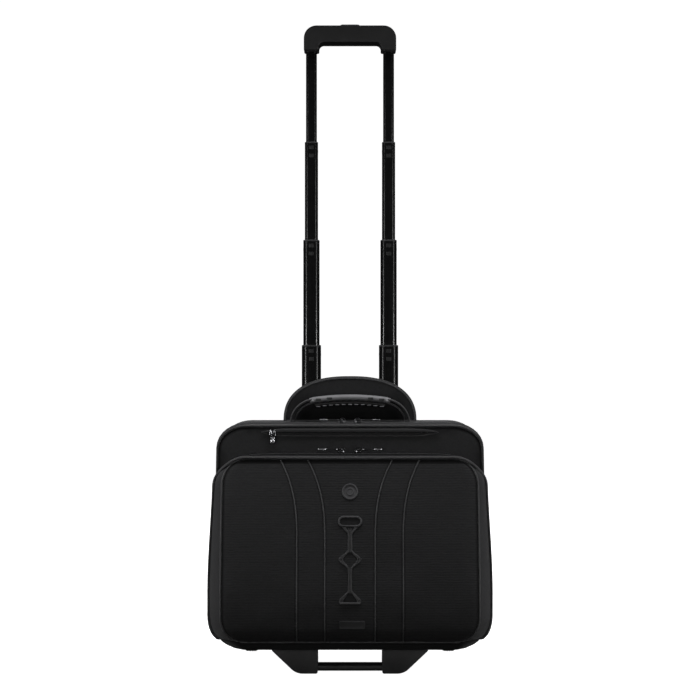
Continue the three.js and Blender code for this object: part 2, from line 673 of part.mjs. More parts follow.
function makeGripShell(side) {
  const bevel = 4;
  const halfDepth = GRIP.depth / 2;
  const whole = alongY(gripOutline(), -halfDepth + bevel, halfDepth - bevel, {
    bevelEnabled: true,
    bevelThickness: bevel,
    bevelSize: 3,
    bevelOffset: -3,
    bevelSegments: 2,
    curveSegments: 3,
  });
  const seam = side * 0.15;
  const away = side * (halfDepth + 5);
  const near = Math.min(seam, away);
  const far = Math.max(seam, away);
  const keep = box(-100, 100, near, far, GRIP.bottom - 5, GRIP.top + 5);
  const shell = solid(whole).intersect(solid(keep)).subtract(gripCavity());
  return geometryOf(shell.translate([0, TROLLEY_Y, 0]));
}
piece('grip_front_shell', makeGripShell(-1), softGrip);
piece('grip_rear_shell', makeGripShell(1), softGrip);

const buttonShape = roundedRect(BUTTON.half, BUTTON.depth / 2, 4);
piece(
  'release_button',
  alongZ(buttonShape, BUTTON.bottom, BUTTON.top - 1.5, {
    bevelEnabled: true,
    bevelThickness: 1.5,
    bevelSize: 1.5,
    bevelOffset: -1.5,
    bevelSegments: 2,
    curveSegments: 2,
  }).translate(0, TROLLEY_Y, 0),
  mouldedPlastic,
);

// The yoke carries the button's push down both inner tubes to the first lock blocks.
function makeYoke() {
  let yoke = solid(box(-YOKE.half, YOKE.half, -4.5, 4.5, YOKE.bottom, BUTTON.bottom - GAP - 1.5));
  for (const side of [-1, 1]) {
    const length = YOKE.bottom + 1 - YOKE.rodBottom;
    const rod = new THREE.CylinderGeometry(YOKE.rodRadius, YOKE.rodRadius, length, 8);
    rod.rotateX(Math.PI / 2).translate(side * TUBE_X, 0, YOKE.rodBottom + length / 2);
    yoke = yoke.add(solid(rod));
  }
  return geometryOf(yoke.translate([0, TROLLEY_Y, 0]));
}
piece('release_yoke', makeYoke(), mouldedPlastic);

// ---------------------------------------------------------------- stand and wheels

function makeStand() {
  const top = BODY.bottom - GAP;
  const { half, foot, gapHalf, barTop, barBottom } = STAND;
  const shape = new THREE.Shape();
  shape.moveTo(-foot + 4, 0);
  shape.lineTo(-gapHalf - 5, 0);
  shape.quadraticCurveTo(-gapHalf, 0, -gapHalf, barBottom);
  shape.lineTo(gapHalf, barBottom);
  shape.quadraticCurveTo(gapHalf, 0, gapHalf + 5, 0);
  shape.lineTo(foot - 4, 0);
  shape.quadraticCurveTo(foot + 3, 0, foot + 7, 8);
  shape.lineTo(half, top - 1);
  shape.lineTo(half, top);
  shape.lineTo(gapHalf, top);
  shape.lineTo(gapHalf, barTop);
  shape.lineTo(-gapHalf, barTop);
  shape.lineTo(-gapHalf, top);
  shape.lineTo(-half, top);
  shape.lineTo(-half, top - 1);
  shape.lineTo(-foot - 7, 8);
  shape.quadraticCurveTo(-foot - 3, 0, -foot + 4, 0);
  return alongY(shape, Y(STAND.front), Y(STAND.back));
}
piece('front_stand', makeStand(), mouldedPlastic);

// A tyre or hub turned about the axle from a closed profile of radius and half-width.
function turned(profile, x) {
  const points = profile.map(([radius, along]) => new THREE.Vector2(radius, along));
  points.push(points[0].clone());
  const geometry = new THREE.LatheGeometry(points, 24);
  return geometry.rotateZ(-Math.PI / 2).translate(x, wheelY, WHEEL.radius);
}

function makeTyre(x) {
  const half = WHEEL.width / 2;
  const { radius, hubRadius } = WHEEL;
  return turned([
    [hubRadius + GAP, -half], [radius - 4, -half], [radius - 1, -half + 3], [radius, -half + 7],
    [radius, half - 7], [radius - 1, half - 3], [radius - 4, half], [hubRadius + GAP, half],
  ], x);
}

function makeHub(x) {
  const half = WHEEL.width / 2 - 1;
  const { boreRadius, hubRadius } = WHEEL;
  return turned([
    [boreRadius, -half], [9, -half], [11, -half + 4], [hubRadius - 4, -half + 4], [hubRadius, -half],
    [hubRadius, half], [hubRadius - 4, half], [hubRadius - 4, half - 4], [11, half - 4], [9, half],
    [boreRadius, half],
  ], x);
}

function makeHousing(x) {
  const { half, front, back, top, well, cheek } = HOUSING;
  const block = solid(box(x - half, x + half, Y(front), Y(back), BODY.bottom + GAP, top));
  const ears = solid(rodAlongX(x - half, x + half, wheelY, WHEEL.radius, 13, 16));
  const cavity = solid(rodAlongX(x - half + cheek, x + half - cheek, wheelY, WHEEL.radius, well, 24));
  const behindWell = box(
    x - half + cheek, x + half - cheek,
    wheelY, Y(back) + 5,
    0, WHEEL.radius + well * 0.5,
  );
  const axleHole = solid(rodAlongX(x - 40, x + 40, wheelY, WHEEL.radius, AXLE_RADIUS + GAP));
  const housing = block.add(ears).subtract(cavity).subtract(solid(behindWell)).subtract(axleHole);
  return geometryOf(housing);
}

for (const [sideName, side] of SIDE_NAMES) {
  const x = side * WHEEL.x;
  piece(`wheel_tyre_${sideName}`, makeTyre(x), tyreRubber);
  piece(`wheel_hub_${sideName}`, makeHub(x), mouldedPlastic);
  piece(`wheel_housing_${sideName}`, makeHousing(x), mouldedPlastic);
  const reach = HOUSING.half;
  piece(`axle_${sideName}`, rodAlongX(x - reach, x + reach, wheelY, WHEEL.radius, AXLE_RADIUS), steel);
}

export default caseGroup;
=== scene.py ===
# %% [markdown]
# # A rolling laptop case
# The real case is a soft bag of black nylon on a small stand and two wheels. A four-stage trolley
# handle slides out from behind a padded hood. The frame file already holds every moving part at its
# true size, so this lesson makes the cloth, the seams and the finishes around it.

# %% Load the frame
import json
import math

import bmesh
import bpy
from mathutils import Matrix, Vector, noise
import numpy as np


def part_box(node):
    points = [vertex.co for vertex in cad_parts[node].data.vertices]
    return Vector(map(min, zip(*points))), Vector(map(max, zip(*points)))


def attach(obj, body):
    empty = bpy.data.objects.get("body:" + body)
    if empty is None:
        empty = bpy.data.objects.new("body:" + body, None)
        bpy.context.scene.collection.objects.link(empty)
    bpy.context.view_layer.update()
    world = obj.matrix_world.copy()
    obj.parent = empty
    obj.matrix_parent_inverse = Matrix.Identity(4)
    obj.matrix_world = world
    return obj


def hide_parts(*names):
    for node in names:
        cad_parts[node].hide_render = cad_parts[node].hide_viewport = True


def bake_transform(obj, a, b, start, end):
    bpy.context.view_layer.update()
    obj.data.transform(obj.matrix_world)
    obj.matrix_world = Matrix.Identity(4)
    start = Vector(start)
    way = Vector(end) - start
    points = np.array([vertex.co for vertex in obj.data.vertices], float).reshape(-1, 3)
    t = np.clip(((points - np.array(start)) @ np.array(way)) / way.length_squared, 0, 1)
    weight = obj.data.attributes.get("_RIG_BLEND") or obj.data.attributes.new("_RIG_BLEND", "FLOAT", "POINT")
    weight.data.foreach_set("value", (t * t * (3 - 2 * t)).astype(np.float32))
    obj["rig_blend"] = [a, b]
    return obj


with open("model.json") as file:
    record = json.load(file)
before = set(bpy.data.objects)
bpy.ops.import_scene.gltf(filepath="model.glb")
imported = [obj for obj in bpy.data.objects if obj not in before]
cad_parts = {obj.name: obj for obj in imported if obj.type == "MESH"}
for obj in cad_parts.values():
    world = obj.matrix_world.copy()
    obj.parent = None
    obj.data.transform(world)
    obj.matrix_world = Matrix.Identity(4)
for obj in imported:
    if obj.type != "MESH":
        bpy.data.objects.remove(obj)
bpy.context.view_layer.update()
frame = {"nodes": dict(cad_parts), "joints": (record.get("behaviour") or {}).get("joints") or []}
nodes = frame["nodes"]
scene = bpy.context.scene

# %% [markdown]
# ## Places
# Every place is read from the frame. `behind` turns a distance behind the bag's front bulge into Y,
# so the whole lesson can be read from front to back, in millimetres.

# %% Places of the main parts
MM = 0.001
body_low, body_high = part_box("bag_body")
pocket_low, pocket_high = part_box("front_pocket")
BULGE = pocket_low.y
TROLLEY_Y = sum(corner.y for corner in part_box("tube_1_left")) / 2
WALL = 4 * MM


def behind(distance):
    return BULGE + distance * MM


def depth_of(y):
    """The distance behind the front bulge, in millimetres."""
    return (y - BULGE) / MM


def middle_and_half(node_name):
    """The middle of a part's box, and half its size each way."""
    low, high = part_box(node_name)
    return (low + high) / 2, (high - low) / 2


print("bag", [round(v, 3) for v in body_high - body_low], "pocket top", round(pocket_high.z, 3))

# %% [markdown]
# ## Camera, lights and a pale room
# The camera stands two metres in front of the bag and looks level at its middle height. A black
# object is drawn by what it mirrors: two tall soft boxes draw a bright line down each rounded side
# of the tubes, and one large soft box above makes the top of the pocket paler than its bottom.

# %% Camera
EYE_HEIGHT = 0.5055
EYE_DISTANCE = 2.0
camera_data = bpy.data.cameras.new("camera")
camera_data.sensor_width = 36
camera_data.lens = 66.79
camera = bpy.data.objects.new("camera", camera_data)
camera.location = (0, BULGE - EYE_DISTANCE, EYE_HEIGHT)
camera.rotation_euler = (math.pi / 2, 0, 0)
scene.collection.objects.link(camera)
scene.camera = camera

# %% Soft boxes
def soft_box(name, place, aim, width, height, power, mirrored_in=True, lights_cloth=True):
    data = bpy.data.lights.new(name, "AREA")
    data.shape = "RECTANGLE"
    data.size, data.size_y, data.energy = width, height, power
    light = bpy.data.objects.new(name, data)
    light.location = place
    light.rotation_euler = (Vector(aim) - Vector(place)).to_track_quat("-Z", "Y").to_euler()
    light.visible_glossy = mirrored_in
    light.visible_diffuse = lights_cloth
    scene.collection.objects.link(light)
    return light


SIDE_ANGLE = math.radians(36)
SIDE_DISTANCE = 2.4
SIDE_ACROSS = math.sin(SIDE_ANGLE) * SIDE_DISTANCE
SIDE_Y = TROLLEY_Y - math.cos(SIDE_ANGLE) * SIDE_DISTANCE
STRIP_WIDTH = 0.24
for side in (-1, 1):
    for name, z, aim_z, height, power in (("side", 0.42, 0.42, 0.85, 13), ("upper", 1.15, 1.0, 0.7, 2.2)):
        place = (side * SIDE_ACROSS, SIDE_Y, z)
        soft_box(f"{name}_box_{side}", place, (0, TROLLEY_Y, aim_z), STRIP_WIDTH, height, power, True, False)
    soft_box(f"wing_box_{side}", (side * 1.9, 0.1, 0.6), (0, 0, 0.25), 0.9, 1.2, 19, False)
soft_box("top_box", (0, -0.5, 2.4), (0, 0, 0.3), 1.9, 0.8, 40, False)
soft_box("front_box", (0, -2.6, 1.2), (0, 0, 0.3), 1.6, 1.2, 5, False)
soft_box("back_box", (0, 2.0, 1.6), (0, 0.1, 0.4), 1.6, 1.2, 36, False)

world = bpy.data.worlds.new("room")
world.use_nodes = True
background = world.node_tree.nodes["Background"].inputs
background["Color"].default_value = (1, 1, 1, 1)
background["Strength"].default_value = 0.015
scene.world = world
scene.view_settings.view_transform = "Standard"
scene.view_settings.look = "None"

# %% [markdown]
# ## Shader arithmetic
# A material is a small program. `Number` wraps one socket and gives it Python's operators, so a
# weave can be written as a formula. `Finish` holds one material and adds any other node.

# %% Numbers in a material
class Number:
    """A value on its way through a material."""

    def __init__(self, finish, socket):
        self.finish, self.socket = finish, socket

    def maths(self, operation, *others):
        values = {0: self.socket}
        for i, other in enumerate(others):
            values[i + 1] = other
        return Number(self.finish, self.finish.node("Math", {"operation": operation}, values))

    def __add__(self, other):
        return self.maths("ADD", other)

    __radd__ = __add__

    def __mul__(self, other):
        return self.maths("MULTIPLY", other)

    __rmul__ = __mul__

    def __sub__(self, other):
        return self.maths("SUBTRACT", other)

    def __rsub__(self, other):
        return self.maths("MULTIPLY", -1) + other

    def wave(self, pitch):
        """A rounded ridge every pitch metres, from 0 to 1."""
        return self.maths("MULTIPLY", 2 * math.pi / pitch).maths("SINE") * 0.5 + 0.5

    def step(self, edge):
        return self.maths("GREATER_THAN", edge)

    def between(self, low, high):
        """0 at low and 1 at high, with a soft turn between."""
        settings = {"interpolation_type": "SMOOTHSTEP"}
        values = {"Value": self, "From Min": low, "From Max": high}
        return Number(self.finish, self.finish.node("MapRange", settings, values))


class Finish:
    """One material: its nodes, and the shader at its end."""

    def __init__(self, name, **sockets):
        self.material = bpy.data.materials.new(name)
        self.material.use_nodes = True
        self.tree = self.material.node_tree
        self.shader = self.tree.nodes["Principled BSDF"]
        for socket, value in sockets.items():
            self.shader.inputs[socket.replace("_", " ")].default_value = value

    def node(self, kind, settings, values, output=0):
        made = self.tree.nodes.new("ShaderNode" + kind)
        for setting, value in settings.items():
            setattr(made, setting, value)
        for name, value in values.items():
            value = value.socket if isinstance(value, Number) else value
            if isinstance(value, bpy.types.NodeSocket):
                self.tree.links.new(value, made.inputs[name])
            else:
                made.inputs[name].default_value = value
        return made.outputs[output]

    def place(self, source="Object"):
        """The three coordinates of the point that is shaded, each as a Number."""
        point = self.node("TexCoord", {}, {}, source)
        return point, [Number(self, self.node("SeparateXYZ", {}, {0: point}, i)) for i in range(3)]

    def cloud(self, point, scale, detail=3):
        """Soft noise from 0 to 1. The scale is in blots per metre."""
        values = {"Vector": point, "Scale": scale, "Detail": detail}
        return Number(self, self.node("TexNoise", {}, values))

    def mix(self, share, one, other):
        """A colour between two."""
        values = {"Factor": share, 6: one, 7: other}
        return self.node("Mix", {"data_type": "RGBA"}, values, 2)

    def feed(self, socket, value):
        value = value.socket if isinstance(value, Number) else value
        self.tree.links.new(value, self.shader.inputs[socket])

    def bump(self, height, distance, strength=1.0):
        values = {"Height": height, "Distance": distance, "Strength": strength}
        self.feed("Normal", self.node("Bump", {}, values))


def grey(level, warm=0.0):
    return (level * (1 + warm), level, level * (1 - warm) + level * 0.04, 1)


# %% [markdown]
# ## Woven nylon
# Ballistic nylon is woven from thick yarn, so its ribs can be seen from across a room. The height is
# a formula on the object's own coordinates: ribs follow Z on upright faces and Y on level ones, and
# finer threads cross them. A little noise bends the ribs, because real yarn is never quite even.
# The attribute `seam` is painted shade: it darkens the colour of the cloth beside a seam and under the carry
# handle, where little light reaches.

# %% Cloth finishes
LEVEL_FROM = 0.72
SEAM_SHADE = 0.0006


def woven(name, tone, rib, thread, relief, roughness):
    finish = Finish(name, Sheen_Weight=0.12, Sheen_Roughness=0.45, IOR=1.42, Specular_IOR_Level=0.25)
    point, (x, y, z) = finish.place()
    _, (_, _, up) = finish.place("Normal")
    level = up.maths("ABSOLUTE").step(LEVEL_FROM)
    bend = (finish.cloud(point, 55, 2) - 0.5) * rib * 0.9
    ribs = (z * (1 - level) + y * level + bend).wave(rib)
    yarn = (x + y * (1 - level) + bend).wave(thread)
    slub = finish.cloud(point, 420, 2)
    height = ribs * 0.62 + yarn * ribs * 0.25 + slub * 0.3
    patch = finish.cloud(point, 9, 4)
    shade = (ribs * 0.35 + yarn * 0.12 + slub * 0.45 + patch * 0.35).between(0.15, 1.0)
    cloth = finish.mix(shade, grey(tone * 0.62), grey(tone * 1.45))
    # Painted shade: where the seam attribute is high, the cloth's colour goes to near black.
    shaded = Number(finish, finish.node("Attribute", {"attribute_name": "seam"}, {}, 2))
    finish.feed("Base Color", finish.mix(shaded, cloth, grey(SEAM_SHADE)))
    finish.feed("Roughness", patch * 0.16 + (roughness - 0.08) + shaded * 0.3)
    finish.bump(height, relief)
    return finish.material


RIBBED = woven("ribbed_nylon", 0.025, 2.5 * MM, 1.3 * MM, 0.5 * MM, 0.62)
SMOOTH = woven("smooth_nylon", 0.031, 1.5 * MM, 1.2 * MM, 0.28 * MM, 0.66)
TAPE = woven("zip_tape", 0.020, 0.9 * MM, 0.9 * MM, 0.15 * MM, 0.7)
LINING = woven("lining", 0.055, 0.7 * MM, 0.7 * MM, 0.06 * MM, 0.5)


def air_mesh():
    """Knitted spacer mesh with rows of small round holes."""
    finish = Finish("air_mesh", Sheen_Weight=0.3, IOR=1.4)
    point, (x, _, z) = finish.place()
    pitch = 3.2 * MM
    rows = x.wave(pitch) * z.wave(pitch)
    offset = (x + pitch / 2).wave(pitch) * (z + pitch / 2).wave(pitch)
    hole = rows.maths("MAXIMUM", offset).between(0.45, 0.8)
    fuzz = finish.cloud(point, 600, 2)
    tone = (1 - hole) * (fuzz * 0.5 + 0.6)
    finish.feed("Base Color", finish.mix(tone, grey(0.004), grey(0.026)))
    finish.feed("Roughness", fuzz * 0.2 + 0.65)
    finish.bump((1 - hole) + fuzz * 0.3, 0.6 * MM)
    return finish.material


AIR_MESH = air_mesh()


def along_cord(name, tone, pitch, roughness, relief=0.2 * MM):
    """Cord, binding and webbing: the pattern follows the piece's own UV map, U along and V around."""
    finish = Finish(name, Sheen_Weight=0.15, IOR=1.45)
    _, (u, v, _) = finish.place("UV")
    solid_point, _ = finish.place()
    twist = (u + v * 0.5).wave(pitch)
    weft = (u * -1 + v * 0.5).wave(pitch)
    fuzz = finish.cloud(solid_point, 500, 2)
    patch = finish.cloud(solid_point, 14, 3)
    height = twist.maths("MAXIMUM", weft * 0.8)
    shade = (height * 0.5 + fuzz * 0.3 + patch * 0.3).between(0.1, 1.0)
    finish.feed("Base Color", finish.mix(shade, grey(tone * 0.6), grey(tone * 1.3)))
    finish.feed("Roughness", patch * 0.14 + (roughness - 0.07))
    finish.bump(height + fuzz * 0.2, relief)
    return finish.material


PIPING = along_cord("piping", 0.062, 1.6 * MM, 0.46)
DARK_PIPING = along_cord("dark_piping", 0.022, 1.6 * MM, 0.42)
LACE = along_cord("lace", 0.06, 1.2 * MM, 0.5)
WEBBING = along_cord("webbing", 0.034, 2.4 * MM, 0.6, 0.35 * MM)
BINDING = along_cord("binding", 0.045, 1.1 * MM, 0.55)

# %% [markdown]
# ## Plastics, metal and rubber
# Moulded plastic has the fine grain of its tool, a soft grip is rubbed smooth where the hand lies,
# and the tubes are glossy black with the long faint lines that drawing them leaves.

# %% Hard finishes
def moulded(name, tone, roughness, grain, relief=0.08 * MM, **sockets):
    finish = Finish(name, **sockets)
    point, _ = finish.place()
    pebbles = Number(finish, finish.node("TexVoronoi", {}, {"Vector": point, "Scale": grain}, "Distance"))
    blots = finish.cloud(point, 24, 4)
    rubbed = finish.cloud(point, 160, 2)
    shade = (blots * 0.6 + rubbed * 0.4).between(0.25, 0.8)
    finish.feed("Base Color", finish.mix(shade, grey(tone * 0.85), grey(tone * 1.15)))
    finish.feed("Roughness", blots * 0.18 + (roughness - 0.09))
    finish.bump(pebbles + rubbed * 0.4, relief)
    return finish.material


PLASTIC = moulded("moulded_plastic", 0.04, 0.48, 1500)
SOFT_GRIP = moulded("soft_grip", 0.009, 0.5, 2200, 0.05 * MM)
SHINY_GRIP = moulded("carry_shell", 0.24, 0.36, 2600, 0.03 * MM)
LABEL = moulded("label_rubber", 0.052, 0.5, 1800, 0.05 * MM)
BADGE_METAL = moulded("badge_enamel", 0.09, 0.4, 2000, 0.03 * MM)
TYRE = moulded("tyre_rubber", 0.016, 0.78, 900, 0.12 * MM)
ZIP_METAL = moulded("zip_metal", 0.16, 0.3, 700, 0.03 * MM, Metallic=1.0)
BRIGHT_METAL = moulded("bright_metal", 0.5, 0.28, 700, 0.03 * MM, Metallic=1.0)
STEEL = moulded("steel", 0.45, 0.3, 500, 0.03 * MM, Metallic=1.0)


def gloss_tube():
    """Black lacquer over a drawn tube, dulled by the rubbing of the collars."""
    finish = Finish("tube_metal", IOR=1.5, Coat_Weight=0.5, Coat_Roughness=0.12)
    point, _ = finish.place()
    stretched = finish.node("Mapping", {}, {"Vector": point, "Scale": (900, 900, 6)})
    lines = Number(finish, finish.node("TexNoise", {}, {"Vector": stretched, "Scale": 1, "Detail": 2}))
    rub = finish.cloud(point, 30, 3)
    finish.feed("Base Color", finish.mix(rub, grey(0.0025), grey(0.0055)))
    finish.feed("Roughness", lines * 0.1 + rub * 0.08 + 0.16)
    finish.bump(lines, 0.02 * MM, 0.4)
    return finish.material


TUBE_GLOSS = gloss_tube()
print("finishes:", len(bpy.data.materials))

# %% [markdown]
# ## A pale floor
# The floor bends up into a round wall, so no line shows between them from any side. It is one line
# spun about the room's middle. It gives off its own light, so the cast shadows on it stay faint.

# %% Floor
def pale_room():
    radius, bend, height = 6.5, 1.5, 7.0
    line = [(0.0, 0.0), (radius - bend, 0.0)]
    for k in range(1, 13):
        turn = math.pi / 2 * k / 12
        line.append((radius - bend + bend * math.sin(turn), bend - bend * math.cos(turn)))
    line.append((radius, height))
    bm = bmesh.new()
    verts = [bm.verts.new((0, -out, up)) for out, up in line]
    edges = [bm.edges.new(pair) for pair in zip(verts, verts[1:])]
    bmesh.ops.spin(
        bm, geom=verts + edges, cent=(0, 0, 0), axis=(0, 0, 1), dvec=(0, 0, 0), angle=2 * math.pi,
        steps=64, use_merge=True, use_duplicate=False,
    )
    bmesh.ops.remove_doubles(bm, verts=bm.verts, dist=0.001)
    bmesh.ops.recalc_face_normals(bm, faces=bm.faces)
    mesh = bpy.data.meshes.new("floor")
    bm.to_mesh(mesh)
    bm.free()
    white = (1, 1, 1, 1)
    pale = (0.86, 0.86, 0.86, 1)
    finish = Finish("floor", Roughness=0.9, Base_Color=pale, Emission_Color=white, Emission_Strength=1.0)
    mesh.materials.append(finish.material)
    mesh.shade_smooth()
    floor = bpy.data.objects.new("floor", mesh)
    scene.collection.objects.link(floor)
    floor.visible_glossy = floor.visible_diffuse = floor.visible_shadow = False


pale_room()
# %% [markdown]
# ## Three ways to make a shape
# Nearly every piece is one of three things. A *loft* is a ring that is extruded again and again while
# a formula says where each ring lies: that suits shells and pads. A *sweep* is a loft along a path:
# that suits cords, straps and tubes. A *plate* is an outline with rounded corners that is extruded
# and has its rim bevelled: that suits moulded and stamped parts.

# %% Finished pieces
def finish_piece(name, bm, finishes, body=None, stands_for=(), crease=38):
    mesh = bpy.data.meshes.new(name)
    bm.to_mesh(mesh)
    bm.free()
    for material in finishes:
        mesh.materials.append(material)
    mesh.shade_smooth()
    mesh.set_sharp_from_angle(angle=math.radians(crease))
    piece = bpy.data.objects.new(name, mesh)
    scene.collection.objects.link(piece)
    if stands_for:
        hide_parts(*stands_for)
    if body:
        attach(piece, body)
    return piece


def paint_shade(piece, rule):
    """Writes the attribute of painted shade, which darkens the cloth's colour beside its seams and under
    things. The rule gives 0 to 1 for a point.
    """
    seam = piece.data.attributes.new("seam", "FLOAT", "POINT")
    for vert, value in zip(piece.data.vertices, seam.data):
        value.value = rule(vert.co)


def face_towards(piece, way):
    """Turns a sheet so that its faces look to the front, with -1, or to the back, with 1."""
    if sum(face.normal.y for face in piece.data.polygons) * way < 0:
        piece.data.flip_normals()


def join_into(bm, other):
    """Adds one bmesh's faces to another."""
    carrier = bpy.data.meshes.new("carrier")
    other.to_mesh(carrier)
    other.free()
    bm.from_mesh(carrier)
    bpy.data.meshes.remove(carrier)


def only(kind, geometry):
    return [part for part in geometry if isinstance(part, kind)]


# %% Lofts
def close_up(bm):
    """Joins points that meet, and turns every face outwards."""
    bmesh.ops.remove_doubles(bm, verts=bm.verts, dist=0.02 * MM)
    bmesh.ops.recalc_face_normals(bm, faces=bm.faces)


def loft(segments, steps, place, ends=(False, False)):
    """A ring extruded steps times. place(u, t) gives a point: u goes once round, t from start to end."""
    bm = bmesh.new()
    bmesh.ops.create_circle(bm, segments=segments, radius=1)
    around = bm.verts.layers.float.new("around")
    along = bm.verts.layers.float.new("along")
    first_ring = list(bm.edges)
    ring_edges = first_ring
    for vert in bm.verts:
        turn = math.atan2(vert.co.y, vert.co.x) / (2 * math.pi)
        vert[around] = round(turn * segments) % segments / segments
        vert.co = place(vert[around], 0.0)
    for step in range(1, steps + 1):
        made = bmesh.ops.extrude_edge_only(bm, edges=ring_edges)["geom"]
        ring_edges = only(bmesh.types.BMEdge, made)
        for vert in only(bmesh.types.BMVert, made):
            vert[along] = step / steps
            vert.co = place(vert[around], step / steps)
    for closed, edges in zip(ends, (first_ring, ring_edges)):
        if closed:
            bmesh.ops.edgenet_fill(bm, edges=edges)
    close_up(bm)
    return bm


def lay_uv(bm, around_size, along_size):
    """Writes a UV map in metres: U along the loft and V around it."""
    around, along = bm.verts.layers.float["around"], bm.verts.layers.float["along"]
    uv = bm.loops.layers.uv.new("UVMap")
    for face in bm.faces:
        turns = [loop.vert[around] for loop in face.loops]
        wraps = max(turns) - min(turns) > 0.5
        for loop, turn in zip(face.loops, turns):
            turn += 1.0 if wraps and turn < 0.5 else 0.0
            loop[uv].uv = (loop.vert[along] * along_size, turn * around_size)


# %% Sweeps
def round_section(radius):
    return lambda u: (radius * math.cos(2 * math.pi * u), radius * math.sin(2 * math.pi * u))


def soft_section(half_width, half_height, squareness=4.0):
    """A rounded rectangle as a superellipse."""
    def point(u):
        c, s = math.cos(2 * math.pi * u), math.sin(2 * math.pi * u)
        power = 2 / squareness
        return (
            half_width * math.copysign(abs(c) ** power, c),
            half_height * math.copysign(abs(s) ** power, s),
        )
    return point


CORNER_POINTS = 8


def cornered_section(half_width, half_height, radius):
    """A rectangle with round corners, for rings of four times CORNER_POINTS segments."""
    def point(u):
        quadrant = int(u * 4 + 1e-6) % 4
        share = (u * 4 + 1e-6) % 1 * CORNER_POINTS / (CORNER_POINTS - 1)
        angle = math.pi / 2 * (quadrant + min(1.0, share))
        sign_x = 1 if quadrant in (0, 3) else -1
        sign_y = 1 if quadrant in (0, 1) else -1
        x = sign_x * (half_width - radius) + radius * math.cos(angle)
        y = sign_y * (half_height - radius) + radius * math.sin(angle)
        return x, y
    return point


def sweep(path, section, segments=10, closed=False, side=None, taper=None):
    """A tube along a path. side is the section's first axis, or else it is carried along the path."""
    points = [Vector(p) for p in path]
    count = len(points)
    frames = []
    first = None
    for i, here in enumerate(points):
        after = points[(i + 1) % count] if closed or i + 1 < count else here
        before = points[i - 1] if closed or i > 0 else here
        forward = (after - before).normalized()
        if side is not None:
            first = Vector(side)
        elif first is None:
            first = forward.orthogonal()
        first = (first - forward * first.dot(forward)).normalized()
        frames.append((here, first, forward.cross(first)))
    steps = count if closed else count - 1

    def place(u, t):
        i = round(t * steps)
        here, first, second = frames[i % count]
        a, b = section(u)
        size = taper(t) if taper else 1.0
        return here + first * a * size + second * b * size

    bm = loft(segments, steps, place, ends=(not closed, not closed))
    length = sum((b - a).length for a, b in zip(points, points[1:]))
    around = [Vector(section(k / 24)) for k in range(25)]
    girth = sum((b - a).length for a, b in zip(around, around[1:]))
    lay_uv(bm, girth, length)
    return bm


def cords(name, paths, radius, finish, body, segments=8, closed=False):
    """Several cords of one kind as one piece. The radius is in millimetres."""
    whole = bmesh.new()
    for path in paths:
        join_into(whole, sweep(path, round_section(radius * MM), segments, closed))
    return finish_piece(name, whole, [finish], body)


# %% Plates
def plate(corners, low, high, rim=0.0, axis="Y", rim_steps=3, corner_steps=5):
    """An outline of (across, up, corner radius), extruded from low to high along one axis."""
    if axis != "Y":
        low, high = -high, -low
    bm = bmesh.new()
    radii = {bm.verts.new((across, low, up)): radius for across, up, radius in corners}
    bm.faces.new(list(radii))
    for vert, radius in radii.items():
        bmesh.ops.bevel(
            bm, geom=[vert], offset=radius, affect="VERTICES", segments=corner_steps,
            profile=0.5, material=-1,
        )
    made = bmesh.ops.extrude_face_region(bm, geom=list(bm.faces))["geom"]
    far = only(bmesh.types.BMVert, made)
    bmesh.ops.translate(bm, verts=far, vec=(0, high - low, 0))
    if rim:
        edges = [e for e in bm.edges if abs(e.verts[0].co.y - e.verts[1].co.y) < 1e-7]
        bmesh.ops.bevel(
            bm, geom=edges, offset=rim, offset_type="OFFSET", affect="EDGES", segments=rim_steps,
            profile=0.5, material=-1, clamp_overlap=True,
        )
    bmesh.ops.recalc_face_normals(bm, faces=bm.faces)
    turns = {"Z": Matrix.Rotation(-math.pi / 2, 3, "X"), "X": Matrix.Rotation(math.pi / 2, 3, "Z")}
    if axis in turns:
        bmesh.ops.rotate(bm, verts=bm.verts, matrix=turns[axis])
    return bm


def oblong(half_across, half_up, radius, centre=(0.0, 0.0)):
    across, up = centre
    return [
        (across + sx * half_across, up + sz * half_up, radius)
        for sx, sz in ((-1, -1), (1, -1), (1, 1), (-1, 1))
    ]


def mirrored(right_side):
    """A whole outline from its right half, listed from the bottom up."""
    return right_side + [(-x, z, r) for x, z, r in reversed(right_side)]


# %% [markdown]
# ## Curves through a few measured points
# A sewn bag has few straight lines. `through` reads a smooth curve that goes through a handful of
# points, so that a profile is five or six numbers and never a table.

# %% Curves
def through(points, at):
    """The value at a place on a smooth curve through (place, value) points, with no overshoot."""
    places = [p for p, _ in points]
    values = [v for _, v in points]
    at = min(max(at, places[0]), places[-1])
    last = len(points) - 2
    i = max(k for k in range(last + 1) if places[k] <= at or k == 0)
    secants = [(values[k + 1] - values[k]) / (places[k + 1] - places[k]) for k in range(last + 1)]

    def slope(k):
        if k == 0 or k == last + 1:
            return secants[min(k, last)]
        one, other = secants[k - 1], secants[k]
        return 0.0 if one * other <= 0 else 2 * one * other / (one + other)

    span = places[i + 1] - places[i]
    t = (at - places[i]) / span
    return (
        values[i] * (1 + 2 * t) * (1 - t) ** 2 + span * slope(i) * t * (1 - t) ** 2
        + values[i + 1] * t * t * (3 - 2 * t) + span * slope(i + 1) * t * t * (t - 1)
    )


def smooth_step(low, high, value):
    t = min(max((value - low) / (high - low), 0.0), 1.0)
    return t * t * (3 - 2 * t)


def arc(centre, radii, start, end, steps=10):
    """Points on part of an ellipse, in degrees."""
    for k in range(steps + 1):
        angle = math.radians(start + (end - start) * k / steps)
        yield centre[0] + radii[0] * math.cos(angle), centre[1] + radii[1] * math.sin(angle)


